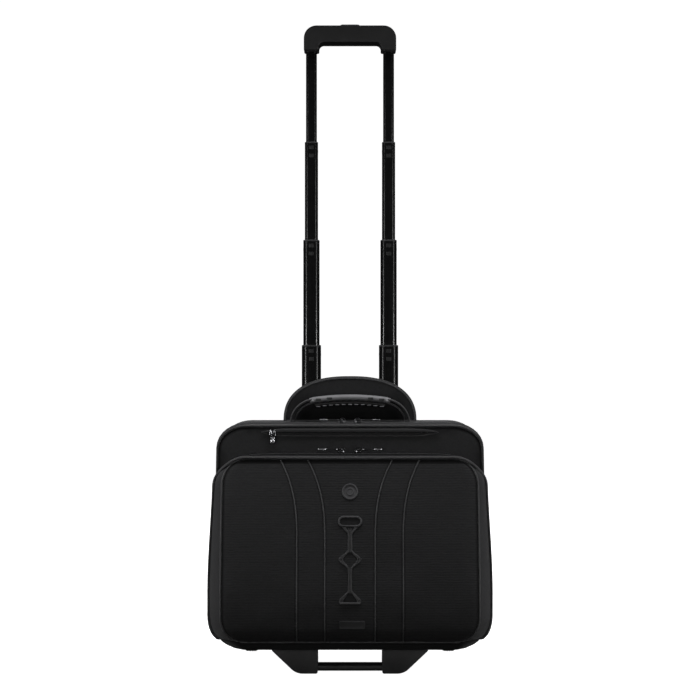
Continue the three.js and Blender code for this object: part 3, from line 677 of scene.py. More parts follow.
class Outline:
    """A closed line of (x, z) points that is read by its share of the whole length."""

    def __init__(self, points):
        self.points = [Vector(p) for p in points]
        self.points.append(self.points[0])
        self.lengths = [0.0]
        for a, b in zip(self.points, self.points[1:]):
            self.lengths.append(self.lengths[-1] + (b - a).length)
        self.length = self.lengths[-1]

    def at(self, share):
        distance = share % 1.0 * self.length
        low, high = 0, len(self.lengths) - 1
        while high - low > 1:
            middle = (low + high) // 2
            low, high = (middle, high) if self.lengths[middle] <= distance else (low, middle)
        span = self.lengths[low + 1] - self.lengths[low]
        t = (distance - self.lengths[low]) / span if span else 0.0
        return self.points[low].lerp(self.points[low + 1], t)


def panel_outline(half_top, half_bottom, bottom, top, top_corner, bottom_corner):
    """The front view of a bag half, in millimetres, from the middle of its right side round."""
    (tx, tz), (bx, bz) = top_corner, bottom_corner
    middle = (bottom + top) / 2
    points = [((half_top + half_bottom) / 2, middle)]
    points += arc((half_top - tx, top - tz), (tx, tz), 0, 90)
    points += arc((-half_top + tx, top - tz), (tx, tz), 90, 180)
    points += arc((-half_bottom + bx, bottom + bz), (bx, bz), 180, 270)
    points += arc((half_bottom - bx, bottom + bz), (bx, bz), 270, 360)
    return Outline([(x * MM, z * MM) for x, z in points])


def drift(point, size, amount):
    """A slow deterministic unevenness, for cloth that isn't quite flat."""
    return noise.noise(Vector(point) / size) * amount

# %% [markdown]
# ## The rear half of the bag
# The rear half is a deep tray of foam-backed nylon, open at the front, where the main zip runs round
# its edge. It is one loft: a ring goes from the zip back along the sides, turns the rear edge and
# closes over the back. Its sides pull in a little, because cloth does between its corners, and a
# Solidify modifier gives the padding and the lining inside. The front half is such a tray too.

# %% Rear shell
REAR_OUTLINE = panel_outline(216, 221, 38, 387, (50, 40), (36, 36))
REAR_FRONT, REAR_BACK = 105.0, 213.0
BAG_MIDDLE = Vector((0, (body_low.z + body_high.z) / 2))
REAR_EDGE = 14.0


def shrink(point, inset):
    """A point of an outline moved in by about inset metres."""
    offset = point - BAG_MIDDLE
    return BAG_MIDDLE + Vector((
        math.copysign(max(abs(offset.x) - inset, 0), offset.x),
        math.copysign(max(abs(offset.y) - inset, 0), offset.y),
    ))


def tray(outline, opening, floor, edge, sag, unevenness, crown):
    """A tray's loft: sides from the opening to the floor, a rounded edge, and the floor itself."""
    way = 1 if floor > opening else -1
    rise, power = crown
    sides_end, edge_end = 0.3, 0.5

    def place(u, t):
        rim = outline.at(u)
        if t < sides_end:
            depth = t / sides_end
            distance = opening + (floor - way * edge - opening) * depth
            uneven = drift((rim.x, rim.y, distance * MM), *unevenness)
            flat = shrink(rim, (sag + uneven) * math.sin(math.pi * depth))
        elif t < edge_end:
            turn = (t - sides_end) / (edge_end - sides_end) * math.pi / 2
            distance = floor - way * edge * (1 - math.sin(turn))
            flat = shrink(rim, edge * (1 - math.cos(turn)) * MM)
        else:
            share = 1 - (t - edge_end) / (1 - edge_end)
            distance = floor - way * rise * (1 - share ** power)
            flat = BAG_MIDDLE.lerp(shrink(rim, edge * MM), share)
        return Vector((flat.x, behind(distance), flat.y))
    return place


def faces_within(bm, low, high, margin=0.0):
    return [f for f in bm.faces if all(
        low[i] - margin < f.calc_center_median()[i] < high[i] + margin for i in range(3)
    )]


def cut_box(bm, low, high):
    """Cuts a box-shaped way through a shell: six cuts, then the faces inside are dropped."""
    for axis in range(3):
        for edge in (low[axis], high[axis]):
            normal = Vector([1 if i == axis else 0 for i in range(3)])
            near = faces_within(bm, low, high, 30 * MM)
            around = {e for f in near for e in f.edges} | {v for f in near for v in f.verts}
            bmesh.ops.bisect_plane(bm, geom=near + list(around), plane_co=normal * edge, plane_no=normal)
    bmesh.ops.delete(bm, geom=faces_within(bm, low, high), context="FACES")


def with_wall(piece, thickness):
    """Padding and lining: the wall grows inwards, and its inner side takes the second finish."""
    wall = piece.modifiers.new("wall", "SOLIDIFY")
    wall.thickness = thickness
    wall.offset = -1
    wall.material_offset = 1


def make_rear_shell():
    sides = tray(
        REAR_OUTLINE, REAR_FRONT, REAR_BACK, REAR_EDGE,
        sag=1.6 * MM, unevenness=(0.09, 1.2 * MM), crown=(1.5, 2),
    )
    bm = loft(168, 40, sides)
    for side in ("left", "right"):
        low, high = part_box(f"wheel_housing_{side}")
        cut_box(bm, low - Vector((1, 1, 30)) * MM, high + Vector((1, 12, 1)) * MM)
    low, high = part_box("outer_tube_left")
    slot_low = (low.x - 1 * MM, low.y - 1 * MM, body_high.z - 6 * MM)
    cut_box(bm, slot_low, (-slot_low[0], high.y + 1 * MM, body_high.z + 5 * MM))
    shell = finish_piece(
        "rear_shell", bm, [SMOOTH, LINING], "bag", ["bag_body"], 50,
    )
    with_wall(shell, WALL)
    print("rear shell:", len(shell.data.polygons), "faces")


make_rear_shell()

# %% [markdown]
# Piping is a cord sewn into a seam so that the edge keeps its shape. Here the cords are sweeps along
# the same outline that shaped the shell, so they lie exactly on its edges.

# %% Piping and bottom of the rear half
def along_outline(outline, distance, inset, count=168):
    flats = [shrink(outline.at(k / count), inset * MM) for k in range(count)]
    return [Vector((flat.x, behind(distance), flat.y)) for flat in flats]


def without_wheels(points):
    """Splits a closed cord where the wheel housings stand."""
    housings = [middle_and_half(f"wheel_housing_{side_name}") for side_name in ("left", "right")]
    runs = [[]]
    for point in points + points[:1]:
        beside = any(abs(point.x - middle.x) < half.x + 2 * MM for middle, half in housings)
        if beside and point.z < 90 * MM:
            if runs[-1]:
                runs.append([])
        else:
            runs[-1].append(point)
    return [run for run in runs if len(run) > 3]


rear_edges = without_wheels(along_outline(REAR_OUTLINE, REAR_BACK - 4, 2.6))
cords("rear_piping", rear_edges, 2.0, PIPING, "bag")
cords("zip_edge_rear", [along_outline(REAR_OUTLINE, 109, 0.2)], 1.5, BINDING, "bag", closed=True)
bottom = plate(
    oblong(0.188, 0.041, 0.026, (0, behind(66))), body_low.z, body_low.z + 2 * WALL, 2.4 * MM, "Z",
)
finish_piece("bottom_panel", bottom, [SMOOTH], "bag")

# %% [markdown]
# ## The padded back
# The side that lies against the handle tubes and the user's leg is a quilted panel of spacer mesh.
# Its sewn channels are valleys in a draped grid, with the foam standing proud between them.

# %% Back panel
def dome(distance, reach):
    """A foam edge: 0 on the seam, 1 a reach further in."""
    return math.sqrt(max(0.0, 1 - (1 - min(distance / reach, 1.0)) ** 2))


def draped(across, up, place):
    """A grid whose points are put in place by a formula of (-1..1, 0..1)."""
    bm = bmesh.new()
    bmesh.ops.create_grid(bm, x_segments=across, y_segments=up, size=1)
    for vert in bm.verts:
        vert.co = place(vert.co.x, (vert.co.y + 1) / 2)
    return bm


PAD_HALF, PAD_LOW, PAD_HIGH, PAD_CORNER = 0.172, 0.100, 0.352, 0.03
CHANNELS = (-0.108, -0.036, 0.036, 0.108)


def back_pad_place(a, b):
    z = PAD_LOW + (PAD_HIGH - PAD_LOW) * b
    from_end = min(z - PAD_LOW, PAD_HIGH - z)
    drop = max(0.0, 1 - from_end / PAD_CORNER)
    half = PAD_HALF - PAD_CORNER * (1 - math.sqrt(1 - drop * drop))
    x = a * half
    seams = [half - abs(x), from_end] + [abs(x - c) for c in CHANNELS]
    lift = 5.5 * dome(min(seams), 0.012) * MM
    return Vector((x, behind(REAR_BACK - 1.6) + lift + drift((x, z, 0), 0.05, 0.5 * MM), z))


back_pad = finish_piece(
    "back_pad", draped(150, 100, back_pad_place), [AIR_MESH], "bag", crease=80,
)
face_towards(back_pad, 1)
right_round = [(k / 40 - 1, 0.0) for k in range(80)] + [(1.0, k / 60) for k in range(60)]
left_round = [(-a, 1 - b) for a, b in right_round]
pad_rim = [back_pad_place(a, b) + Vector((0, 0.8 * MM, 0)) for a, b in right_round + left_round]
cords("back_pad_binding", [pad_rim], 1.7, BINDING, "bag", closed=True)

# %% [markdown]
# ## The front half
# The front half is a shallower tray that faces the rear one. Its front wall is mostly hidden by the
# pocket; what shows is the smooth band above it, with the organiser zip, and the piped upper edge.

# %% Front half
HALF_OUTLINE = panel_outline(211, 216, 51, 386, (46, 36), (40, 40))
HALF_FRONT, HALF_BACK, HALF_EDGE = 52.0, 103.0, 7.0


front_half_loft = loft(168, 36, tray(
    HALF_OUTLINE, HALF_BACK, HALF_FRONT, HALF_EDGE,
    sag=1.0 * MM, unevenness=(0.08, 1.0 * MM), crown=(0.6, 1),
))
front_half = finish_piece(
    "front_half", front_half_loft, [SMOOTH, LINING], "front_half", ["front_half_shell"], 50,
)
with_wall(front_half, WALL)
HALF_RIM = [HALF_OUTLINE.at(k / 240) for k in range(240)]


def half_seam_shade(co):
    """Painted shade: dark inside the piped edge."""
    if co.y > behind(HALF_FRONT + 4):
        return 0.0
    nearest = min((Vector((co.x, co.z)) - p).length for p in HALF_RIM)
    return 0.9 * (1 - smooth_step(5.0, 9.5, nearest / MM))


paint_shade(front_half, half_seam_shade)
half_edge = along_outline(HALF_OUTLINE, HALF_FRONT + 1.6, 1.4)
cords("front_half_piping", [half_edge], 2.0, DARK_PIPING, "front_half", closed=True)
cords("zip_edge_front", [along_outline(HALF_OUTLINE, 99.5, 0.2)], 1.4, BINDING, "front_half", closed=True)

# %% [markdown]
# ## Zips
# A zip is two woven tapes with a coil of teeth on each. The coil is a row of small links, made once
# and copied along the run by a loop, and each has only a few dozen faces because there are hundreds.

# %% Zip tapes and coils
def tape(name, path, half_width, thickness, side, body):
    """A flat strip of zip tape. Its sizes are in millimetres."""
    bm = sweep(path, soft_section(half_width * MM, thickness / 2 * MM, 6), 12, side=side)
    finish_piece(name, bm, [TAPE], body)


def coil(name, path, body, pitch, size):
    """Links across a run of zip, one every pitch. The size is along, across and up."""
    bm = bmesh.new()
    lengths = [0.0]
    for a, b in zip(path, path[1:]):
        lengths.append(lengths[-1] + (b - a).length)
    count = int(lengths[-1] / pitch)
    i = 0
    for k in range(count + 1):
        distance = k * pitch
        while i + 2 < len(lengths) and lengths[i + 1] < distance:
            i += 1
        forward = (path[i + 1] - path[i]).normalized()
        centre = path[i] + forward * (distance - lengths[i])
        turn = forward.to_track_quat("X", "Z").to_matrix().to_4x4()
        matrix = Matrix.Translation(centre) @ turn @ Matrix.Diagonal((*(length * MM for length in size), 1))
        bmesh.ops.create_icosphere(bm, subdivisions=1, radius=1, matrix=matrix)
    finish_piece(name, bm, [ZIP_METAL], body)


main_run = [p for p in along_outline(REAR_OUTLINE, 104.6, 1.2) if p.z > body_low.z + 30 * MM]
gap_at = max(range(len(main_run)), key=lambda k: (main_run[k] - main_run[k - 1]).length)
main_run = main_run[gap_at:] + main_run[:gap_at]
for end_name, body, offset in (("rear", "bag", 2.6), ("front", "front_half", -3.0)):
    edge = [p + Vector((0, offset * MM, 0)) for p in main_run]
    tape(f"main_zip_tape_{end_name}", edge, 2.2, 1.0, (0, 1, 0), body)
coil("main_zip_coil", main_run, "bag", 1.9 * MM, (0.62, 1.5, 0.75))

# %% [markdown]
# ## The pocket
# The pocket is a scoop: a padded front, and slanted gussets that run from its piped seam out to the
# bag. Four piped lines are sewn down it. The padding stands proud between all of these seams, so the
# depth of a point is the profile of the pocket plus a dome that falls to nothing at every seam.

# %% Profile and seams of the pocket
PROFILE = [(52, 13), (75, 3.5), (115, 0), (180, 6.5), (260, 19), (335, 36)]
POCKET_LOW, POCKET_TOP = 52.0, 335.0
POCKET_HEIGHT = POCKET_TOP - POCKET_LOW
GUSSET_BACK = 51.2


def corner_in(distance, across, up):
    """How far a rounded corner draws the side in, a distance from the end."""
    share = min(max(0.0, 1 - distance / up), 1.0)
    return across * (1 - math.sqrt(1 - share * share))


def seam_half(z):
    return 200 - corner_in(POCKET_TOP - z, 40, 40) - corner_in(z - POCKET_LOW, 34, 40)


def gusset_half(z):
    swell = 9 * smooth_step(0, POCKET_TOP - 115, POCKET_TOP - z)
    return 214 + swell - corner_in(POCKET_TOP - z, 52, 46) - corner_in(z - POCKET_LOW, 17, 40)


SEWN_LINES = [(side * low, side * high) for side in (-1, 1) for low, high in ((39, 67.5), (82.5, 110))]


def sewn_x(line, z):
    """A sewn line runs straight down and flares out near the top."""
    low, high = line
    return low + (high - low) * max(0.0, (z - 205) / (POCKET_TOP - 205)) ** 2.7


def from_sewn_line(x, z):
    return min(abs(x - sewn_x(line, z)) for line in SEWN_LINES)


def face_depth(x, z):
    half = seam_half(min(max(z, POCKET_LOW + 0.5), POCKET_TOP - 0.5))
    from_seam = min(half - abs(x) + 0.01, z - POCKET_LOW, POCKET_TOP - z + 4)
    puff = 2.4 * dome(max(from_seam, 0), 26) * (0.25 + 0.75 * dome(from_sewn_line(x, z), 17))
    roll = 3.2 * (1 - dome(max(half - abs(x), 0), 16))
    slack = drift((x * MM, z * MM, 0), 0.06, 0.7)
    return through(PROFILE, z) + 1.7 + roll - puff - slack


def face_point(x, z, lift=0.0):
    """A point on the pocket's front, in metres, from millimetres."""
    return Vector((x * MM, behind(face_depth(x, z) - lift), z * MM))


# %% Front of the pocket
def face_place(a, b):
    z = POCKET_LOW + POCKET_HEIGHT * b
    return face_point(a * seam_half(z), z)


def swell_cloth(piece, held, frames=16, pressure=1.2, cap=2.2 * MM):
    """Lets the cloth swell against its seams, then caps how far a point has moved."""
    rest = [v.co.copy() for v in piece.data.vertices]
    group = piece.vertex_groups.new(name="seams")
    group.add([i for i, co in enumerate(rest) if held(co)], 1.0, "REPLACE")
    cloth = piece.modifiers.new("swell", "CLOTH")
    cloth.settings.quality = 4
    cloth.settings.mass = 0.3
    cloth.settings.tension_stiffness = cloth.settings.compression_stiffness = 25
    cloth.settings.bending_stiffness = 2
    cloth.settings.use_pressure = True
    cloth.settings.uniform_pressure_force = pressure
    cloth.settings.vertex_group_mass = "seams"
    cloth.settings.effector_weights.gravity = 0
    cloth.point_cache.frame_end = frames
    for frame_number in range(1, frames + 1):
        scene.frame_set(frame_number)
    evaluated = piece.evaluated_get(bpy.context.evaluated_depsgraph_get())
    swollen = [v.co.copy() for v in evaluated.data.vertices]
    piece.modifiers.remove(cloth)
    scene.frame_set(1)
    for vert, start, end in zip(piece.data.vertices, rest, swollen):
        move = end - start
        move *= min(1.0, cap / move.length) if move.length else 0.0
        vert.co = start + move
    piece.data.update()
    furthest = max((v.co - start).length for v, start in zip(piece.data.vertices, rest))
    print(piece.name, "swelled by up to", round(furthest / MM, 2), "mm")


def is_sewn(co):
    x, z = co.x / MM, co.z / MM
    return min(seam_half(z) - abs(x), z - POCKET_LOW, POCKET_TOP - z, from_sewn_line(x, z)) < 2.6


pocket_face = finish_piece(
    "pocket_face", draped(190, 130, face_place), [RIBBED, LINING], "front_pocket",
    ["front_pocket"], 80,
)
face_towards(pocket_face, -1)
swell_cloth(pocket_face, is_sewn)


def face_seam_shade(co):
    """Painted shade: dark where the face turns in to its piping, under the band at the top, and in a thin
    line on both sides of each cord.
    """
    x, z = co.x / MM, co.z / MM
    side = 1 - smooth_step(2.2, 6.0, seam_half(z) - abs(x))
    top = 1 - smooth_step(5.5, 8.5, POCKET_TOP - z)
    line = 1 - smooth_step(1.8, 3.6, from_sewn_line(x, z))
    return max(0.92 * side, 0.95 * top, 0.6 * line)


paint_shade(pocket_face, face_seam_shade)
with_wall(pocket_face, 3 * MM)

# %% [markdown]
# The gusset is drawn as two loops, the piped seam and the line where it is sewn to the bag. Bridging
# the loops and cutting the bridge makes the cloth between them, which then bulges a little. Its back
# edge stays with the bag while its front edge goes with the pocket, so it blends across that joint.

# %% Gusset of the pocket
def pocket_loop(count=64, top=40, bottom=36):
    """Places round the pocket as (side, height): up the right, over the top and down the left."""
    heights = [POCKET_LOW + POCKET_HEIGHT * (1 - math.cos(math.pi * k / count)) / 2 for k in range(count + 1)]
    right = [(1.0, z) for z in heights]
    over = [(1 - 2 * k / top, POCKET_TOP) for k in range(1, top)]
    under = [(2 * k / bottom - 1, POCKET_LOW) for k in range(1, bottom)]
    return right + over + [(-1.0, z) for z in reversed(heights)] + under


POCKET_LOOP = pocket_loop()


def seam_point(a, z, out=0.0):
    half = seam_half(z)
    return Vector((a * (half + out) * MM, behind(face_depth(a * half, z)), z * MM))


def gusset_point(a, z):
    return Vector((a * gusset_half(z) * MM, behind(GUSSET_BACK), z * MM))


def make_gusset():
    bm = bmesh.new()
    loops = []
    for maker in (seam_point, gusset_point):
        verts = [bm.verts.new(maker(a, z)) for a, z in POCKET_LOOP]
        loops.append([bm.edges.new((a, b)) for a, b in zip(verts, verts[1:] + verts[:1])])
    rims = loops[0] + loops[1]
    bridged = bmesh.ops.bridge_loops(bm, edges=rims)
    across = [e for e in bridged["edges"] if e not in set(rims)]
    bmesh.ops.subdivide_edges(bm, edges=across, cuts=7, use_grid_fill=True)
    for vert in bm.verts:
        depth = depth_of(vert.co.y)
        seam_depth = through(PROFILE, vert.co.z / MM) + 3
        share = min(max((depth - seam_depth) / (GUSSET_BACK - seam_depth), 0), 1)
        bulge = (0.9 if vert.co.z > POCKET_TOP * MM - 10 * MM else 3.0) * math.sin(math.pi * share) * MM
        outward = Vector((vert.co.x, 0, vert.co.z - BAG_MIDDLE.y)).normalized()
        vert.co += outward * bulge
    bmesh.ops.recalc_face_normals(bm, faces=bm.faces)
    gusset = finish_piece("pocket_gusset", bm, [SMOOTH, LINING], None, crease=60)
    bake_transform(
        gusset, "front_half", "front_pocket",
        start=(0, behind(GUSSET_BACK), 0.2), end=(0, behind(37), 0.2),
    )
    with_wall(gusset, 2 * MM)


make_gusset()

# %% [markdown]
# Three kinds of cord finish the pocket: a fine piping in the seam round its front, four finer ones
# down the sewn lines, and a thick flat band along the zip that runs on down the gusset's rear edge.

# %% Piping and band of the pocket
seam_cord = [seam_point(a, z, 0.6) + Vector((0, -0.9 * MM, 0)) for a, z in POCKET_LOOP]
cords("pocket_seam_piping", [seam_cord], 1.4, PIPING, "front_pocket", closed=True)
heights = [POCKET_LOW + 2 + (POCKET_HEIGHT - 4) * k / 70 for k in range(71)]
sewn_cords = [[face_point(sewn_x(line, z), z, 0.3) for z in heights] for line in SEWN_LINES]
cords("pocket_sewn_piping", sewn_cords, 1.15, PIPING, "front_pocket")


def band_point(a, z):
    """The band lies on the pocket's upper rim and passes to the gusset's rear edge down the sides."""
    rise = smooth_step(304, POCKET_TOP, z)
    low_depth, top_depth = GUSSET_BACK - 3, 34.5
    depth = low_depth + (top_depth - low_depth) * rise
    half = gusset_half(z) + 0.8 - 0.6 * (gusset_half(z) - seam_half(z)) * rise
    top = 2.4 * smooth_step(300, POCKET_TOP, z) - 0.9 * (1 - a * a) * smooth_step(330, POCKET_TOP, z)
    low = -1.0 if z < POCKET_LOW + 1 else 0.0
    return Vector((a * half * MM, behind(depth), (z + top + low) * MM))


def make_band():
    path = [band_point(a, z) for a, z in POCKET_LOOP]
    bm = sweep(path, soft_section(2.3 * MM, 1.6 * MM, 3), 14, closed=True, side=(0, -0.2, 1))
    band = finish_piece("pocket_band", bm, [PIPING], None, crease=60)
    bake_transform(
        band, "front_half", "front_pocket",
        start=(0, behind(46), 0.2), end=(0, behind(36.5), 0.2),
    )


make_band()

# %% [markdown]
# Below the pocket a skirt of the same cloth runs from the bag's bottom panel up to the seam. It is
# the hinge of the whole front half, so it blends from the bag to the front half.

# %% Skirt under the pocket
SKIRT_LOW = body_low.z / MM + 1.5


def skirt_place(a, b):
    z = SKIRT_LOW + (POCKET_LOW + 1.2 - SKIRT_LOW) * b
    half = 194 + 12 * math.sin(math.pi / 2 * b)
    round_back = 34 * max(0.0, (abs(a) - 0.84) / 0.16) ** 1.5
    depth = 14.5 + 3 * (1 - b) ** 1.6 + round_back - 1.2 * math.sin(math.pi * b)
    return Vector((a * half * MM, behind(depth), z * MM))


skirt = finish_piece(
    "pocket_skirt", draped(96, 10, skirt_place), [SMOOTH, LINING], None, crease=80,
)
face_towards(skirt, -1)
# Painted shade: the skirt under the pocket is darkened all over, most of all near its top under the pocket's
# seam.
paint_shade(skirt, lambda co: 0.72 + 0.2 * smooth_step(45, 51, co.z / MM))
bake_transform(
    skirt, "bag", "front_half", start=(0, 0, SKIRT_LOW * MM), end=(0, 0, (POCKET_LOW + 1.0) * MM),
)
with_wall(skirt, 1.5 * MM)
print("pocket sewn; its face reaches", round(face_depth(140, 115), 1), "mm behind the bulge plane")

# %% [markdown]
# ## Organiser zip and pocket zip
# Above the pocket lies a leaf-shaped welt that half covers the organiser zip. The pocket zip lies on
# a narrow ledge, level with the band, with a tape on each side of its coil.

# %% Organiser welt and pocket zip
ORGANISER_Z, ORGANISER_HALF = 375.5, 140.0


def welt_half_height(x):
    return 5.5 * math.sqrt(max(0.0, 1 - smooth_step(88, ORGANISER_HALF, abs(x)) ** 2))


def make_organiser():
    depth = HALF_FRONT - 0.9

    def welt_point(x, rise, lift):
        return Vector((x * MM, behind(depth - lift), (ORGANISER_Z + rise) * MM))

    def lip(a, b):
        x = a * ORGANISER_HALF
        fold = 1.6 * dome(min(b, 1 - b), 0.22) + (1.1 if b > 0.52 else 0.0)
        return welt_point(x, (b * 2 - 1) * welt_half_height(x), fold)

    welt = finish_piece(
        "organiser_welt", draped(110, 14, lip), [SMOOTH], "front_half", ["organiser_zip_welt"], 45,
    )
    face_towards(welt, -1)
    edge = []
    for side in (1, -1):
        for k in range(61):
            x = side * ORGANISER_HALF * (1 - 2 * k / 60)
            edge.append(welt_point(x, side * welt_half_height(x), 0.8))
    cords("organiser_binding", [edge[:-1]], 0.8, BINDING, "front_half", 6, closed=True)
    run = [welt_point(x, 0, 1.9) for x in range(-124, 125, 4)]
    coil("organiser_coil", run, "front_half", 1.6 * MM, (0.5, 1.1, 0.5))


make_organiser()
ZIP_HALF, ZIP_Z = 158, 342.6


def zip_run(distance, up):
    """The line of the pocket zip, which drops and turns back towards its ends."""
    shares = [(x, abs(x) / ZIP_HALF) for x in range(-ZIP_HALF, ZIP_HALF + 1, 4)]
    return [
        Vector((x * MM, behind(distance + 4 * share ** 4), (ZIP_Z + up - 2.2 * share ** 5) * MM))
        for x, share in shares
    ]


tape("pocket_zip_tape", zip_run(46.2, -0.6), 6.2, 2.4, (0, 1, 0), "front_half")
coil("pocket_zip_coil", zip_run(45.6, 1.0), "front_half", 1.7 * MM, (0.55, 1.5, 0.6))
tape("pocket_zip_facing", zip_run(39.5, -4.2), 3.0, 1.2, (0, 0.6, 1), "front_pocket")

# %% [markdown]
# ## The hood and the carry handle
# The hood is a pillow: a loft that starts at the middle of its front, grows to its half-round rim,
# turns over it and closes at the middle of its back. The foam makes both faces swell.

# %% Hood
hood_low, hood_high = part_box("trolley_hood")


def hood_outline(inset=0.0):
    half, height = hood_high.x - inset, hood_high.z - hood_low.z - inset
    arch = soft_section(half, height, 2.4)
    points = [Vector(arch(k / 120)) + Vector((0, hood_low.z)) for k in range(61)]
    points += [(x, hood_low.z) for x in (-half * 0.5, 0.0, half * 0.5)]
    return Outline(points)


def make_hood():
    outline = hood_outline()
    middle = Vector((0, hood_low.z + 0.4 * (hood_high.z - hood_low.z)))
    front, back = hood_low.y, hood_high.y
    half_thick = (back - front) / 2
    round_in = 7 * MM

    def place(u, t):
        rim = outline.at(u)
        inwards = (middle - rim).normalized() * round_in
        if 0.4 < t < 0.6:
            turn = (t - 0.4) / 0.2 * math.pi
            flat = rim + inwards * (1 - math.sin(turn))
            return Vector((flat.x, (front + back) / 2 - half_thick * math.cos(turn), flat.y))
        share = t / 0.4 if t <= 0.4 else (1 - t) / 0.4
        flat = middle.lerp(rim + inwards, share)
        puff = 2.2 * MM * (1 - share ** 3) + drift((flat.x, flat.y, t), 0.05, 0.8 * MM) * (1 - share)
        y = front - 0.3 * puff if t <= 0.4 else back + puff
        return Vector((flat.x, y, flat.y))

    hood = finish_piece(
        "hood", loft(140, 60, place), [SMOOTH], "bag", ["trolley_hood"], 80,
    )
    # Painted shade: the hood is darkened a little all over, and far more low in the middle under the carry
    # handle, where its shadow falls.
    paint_shade(hood, lambda co: (
        0.3 + 0.6 * (1 - smooth_step(0.395, 0.442, co.z)) * (1 - smooth_step(0.075, 0.1, abs(co.x)))
    ))
    inner = hood_outline(3.4 * MM)
    flats = [inner.at(k / 120) for k in range(120)]
    rim_cord = [Vector((p.x, front + 0.4 * MM, max(p.y, hood_low.z + 1.5 * MM))) for p in flats]
    cords("hood_piping", [rim_cord], 1.3, PIPING, "bag", closed=True)


make_hood()

# %% [markdown]
# The carry handle is webbing that folds on itself: an outer and an inner layer rise from the bag and
# go under a moulded shell. The feet of the webbing stay sewn to the bag while the rest tips with the
# handle, so both layers blend across the fold.

# %% Carry handle
shell_low, shell_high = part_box("carry_grip_shell")
pad_low, pad_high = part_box("carry_grip_pad")
CARRY_Y = (shell_low.y + shell_high.y) / 2
CARRY_ARCH = 5.2 * MM
ACROSS = (0, 1, 0)
strap_low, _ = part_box("carry_strap_right")


def bezier(a, b, c, d, steps=24):
    for k in range(steps + 1):
        t = k / steps
        yield a * (1 - t) ** 3 + b * 3 * t * (1 - t) ** 2 + c * 3 * t * t * (1 - t) + d * t ** 3


def make_straps():
    foot_z, top_z = strap_low.z, shell_low.z + 3 * MM
    layers, edges, feet = bmesh.new(), bmesh.new(), bmesh.new()

    def width(t):
        return 0.55 + 0.45 * smooth_step(0.0, 0.45, t)

    for side in (-1, 1):
        for spread, lift in ((0.0, 0.0), (-7.0, -3.5 * MM)):
            corners = (
                (97.5, foot_z), (94, foot_z + 17 * MM), (84, top_z - 3 * MM + lift), (58, top_z + lift),
            )
            path = list(bezier(*(Vector((side * (x + spread) * MM, CARRY_Y, z)) for x, z in corners)))
            band = soft_section(13 * MM, 1.3 * MM, 5)
            join_into(layers, sweep(path, band, 20, side=ACROSS, taper=width))
            for edge in (-12.2, 12.2) if spread == 0.0 else ():
                rim = [p + Vector((0, edge * width(k / 24), 0.8)) * MM for k, p in enumerate(path)]
                join_into(edges, sweep(rim, round_section(1.3 * MM), 8))
        patch = oblong(7 * MM, 9 * MM, 2 * MM, (side * 97 * MM, CARRY_Y))
        join_into(feet, plate(patch, body_high.z, body_high.z + 1.8 * MM, 0.7 * MM, "Z"))
    both = ["carry_strap_left", "carry_strap_right"]
    for name, bm, finish, stands_for in (
        ("carry_straps", layers, WEBBING, both), ("carry_strap_edges", edges, PIPING, ()),
    ):
        piece = finish_piece(name, bm, [finish], None, stands_for)
        start, end = (0, CARRY_Y, body_high.z + 1.5 * MM), (0, CARRY_Y, body_high.z + 15 * MM)
        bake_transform(piece, "bag", "carry_handle", start=start, end=end)
    finish_piece("carry_strap_patches", feet, [WEBBING], "bag")


make_straps()


def arched(low, high, arch, half, count=48):
    """A shallow arch over the bag, between two heights."""
    for k in range(count + 1):
        x = half * (2 * k / count - 1)
        yield Vector((x, CARRY_Y, (low + high) / 2 + arch * (0.5 - (x / half) ** 2)))


def make_carry_grip():
    def round_end(t):
        return 0.82 + 0.18 * smooth_step(0, 0.05, t) * smooth_step(0, 0.05, 1 - t)

    height = (shell_high.z - shell_low.z) / 2 - 0.5 * MM
    path = list(arched(shell_low.z - 4.4 * MM, shell_high.z, CARRY_ARCH, shell_high.x))
    shell = sweep(path, soft_section(14.5 * MM, height, 3.2), 40, side=ACROSS, taper=round_end)
    finish_piece("carry_shell", shell, [SHINY_GRIP], "carry_handle", ["carry_grip_shell"], 60)
    plugs = bmesh.new()
    for x in (-51.5, -33.5, 33.5, 51.5):
        z = min(path, key=lambda p: abs(p.x - x * MM)).z + 0.6 * MM
        plug = oblong(4.6 * MM, 1.7 * MM, 1.6 * MM, (x * MM, z))
        join_into(plugs, plate(plug, CARRY_Y - 15.6 * MM, CARRY_Y - 13 * MM, 0.4 * MM))
    finish_piece("carry_shell_plugs", plugs, [PLASTIC], "carry_handle")
    ribs, highlight_toes = bmesh.new(), bmesh.new()
    spine = list(arched(pad_low.z, pad_high.z, 4 * MM, pad_high.x))
    join_into(ribs, sweep(spine, soft_section(12.4 * MM, 3.2 * MM, 3), 28, side=ACROSS))
    for middle in list(arched(pad_low.z, pad_high.z, 4 * MM, pad_high.x, 22))[1::2]:
        rib = [middle + Vector((step * 3 * MM, 0, 0)) for step in (-1, 0, 1)]
        toe = [point - Vector((0, 0, 3.2 * MM)) for point in rib]
        join_into(ribs, sweep(rib, soft_section(13.4 * MM, 4.1 * MM, 3), 24, side=ACROSS))
        join_into(highlight_toes, sweep(toe, soft_section(13.8 * MM, 1.3 * MM, 3), 20, side=ACROSS))
    # Painted highlight: the toes along the pad's lower edge take the pale shell finish, so they show as a row
    # of bright dashes.
    finish_piece("carry_pad_highlight_toes", highlight_toes, [SHINY_GRIP], "carry_handle", crease=50)
    pad = finish_piece("carry_pad", ribs, [SOFT_GRIP], "carry_handle", ["carry_grip_pad"], 50)


make_carry_grip()

# %% [markdown]
# ## The trolley handle
# Drawn tubes have soft corners, so each one is swept again with a finer section of the same size. A
# collar at each mouth has two snap tabs that show as small windows on the front of the tube.

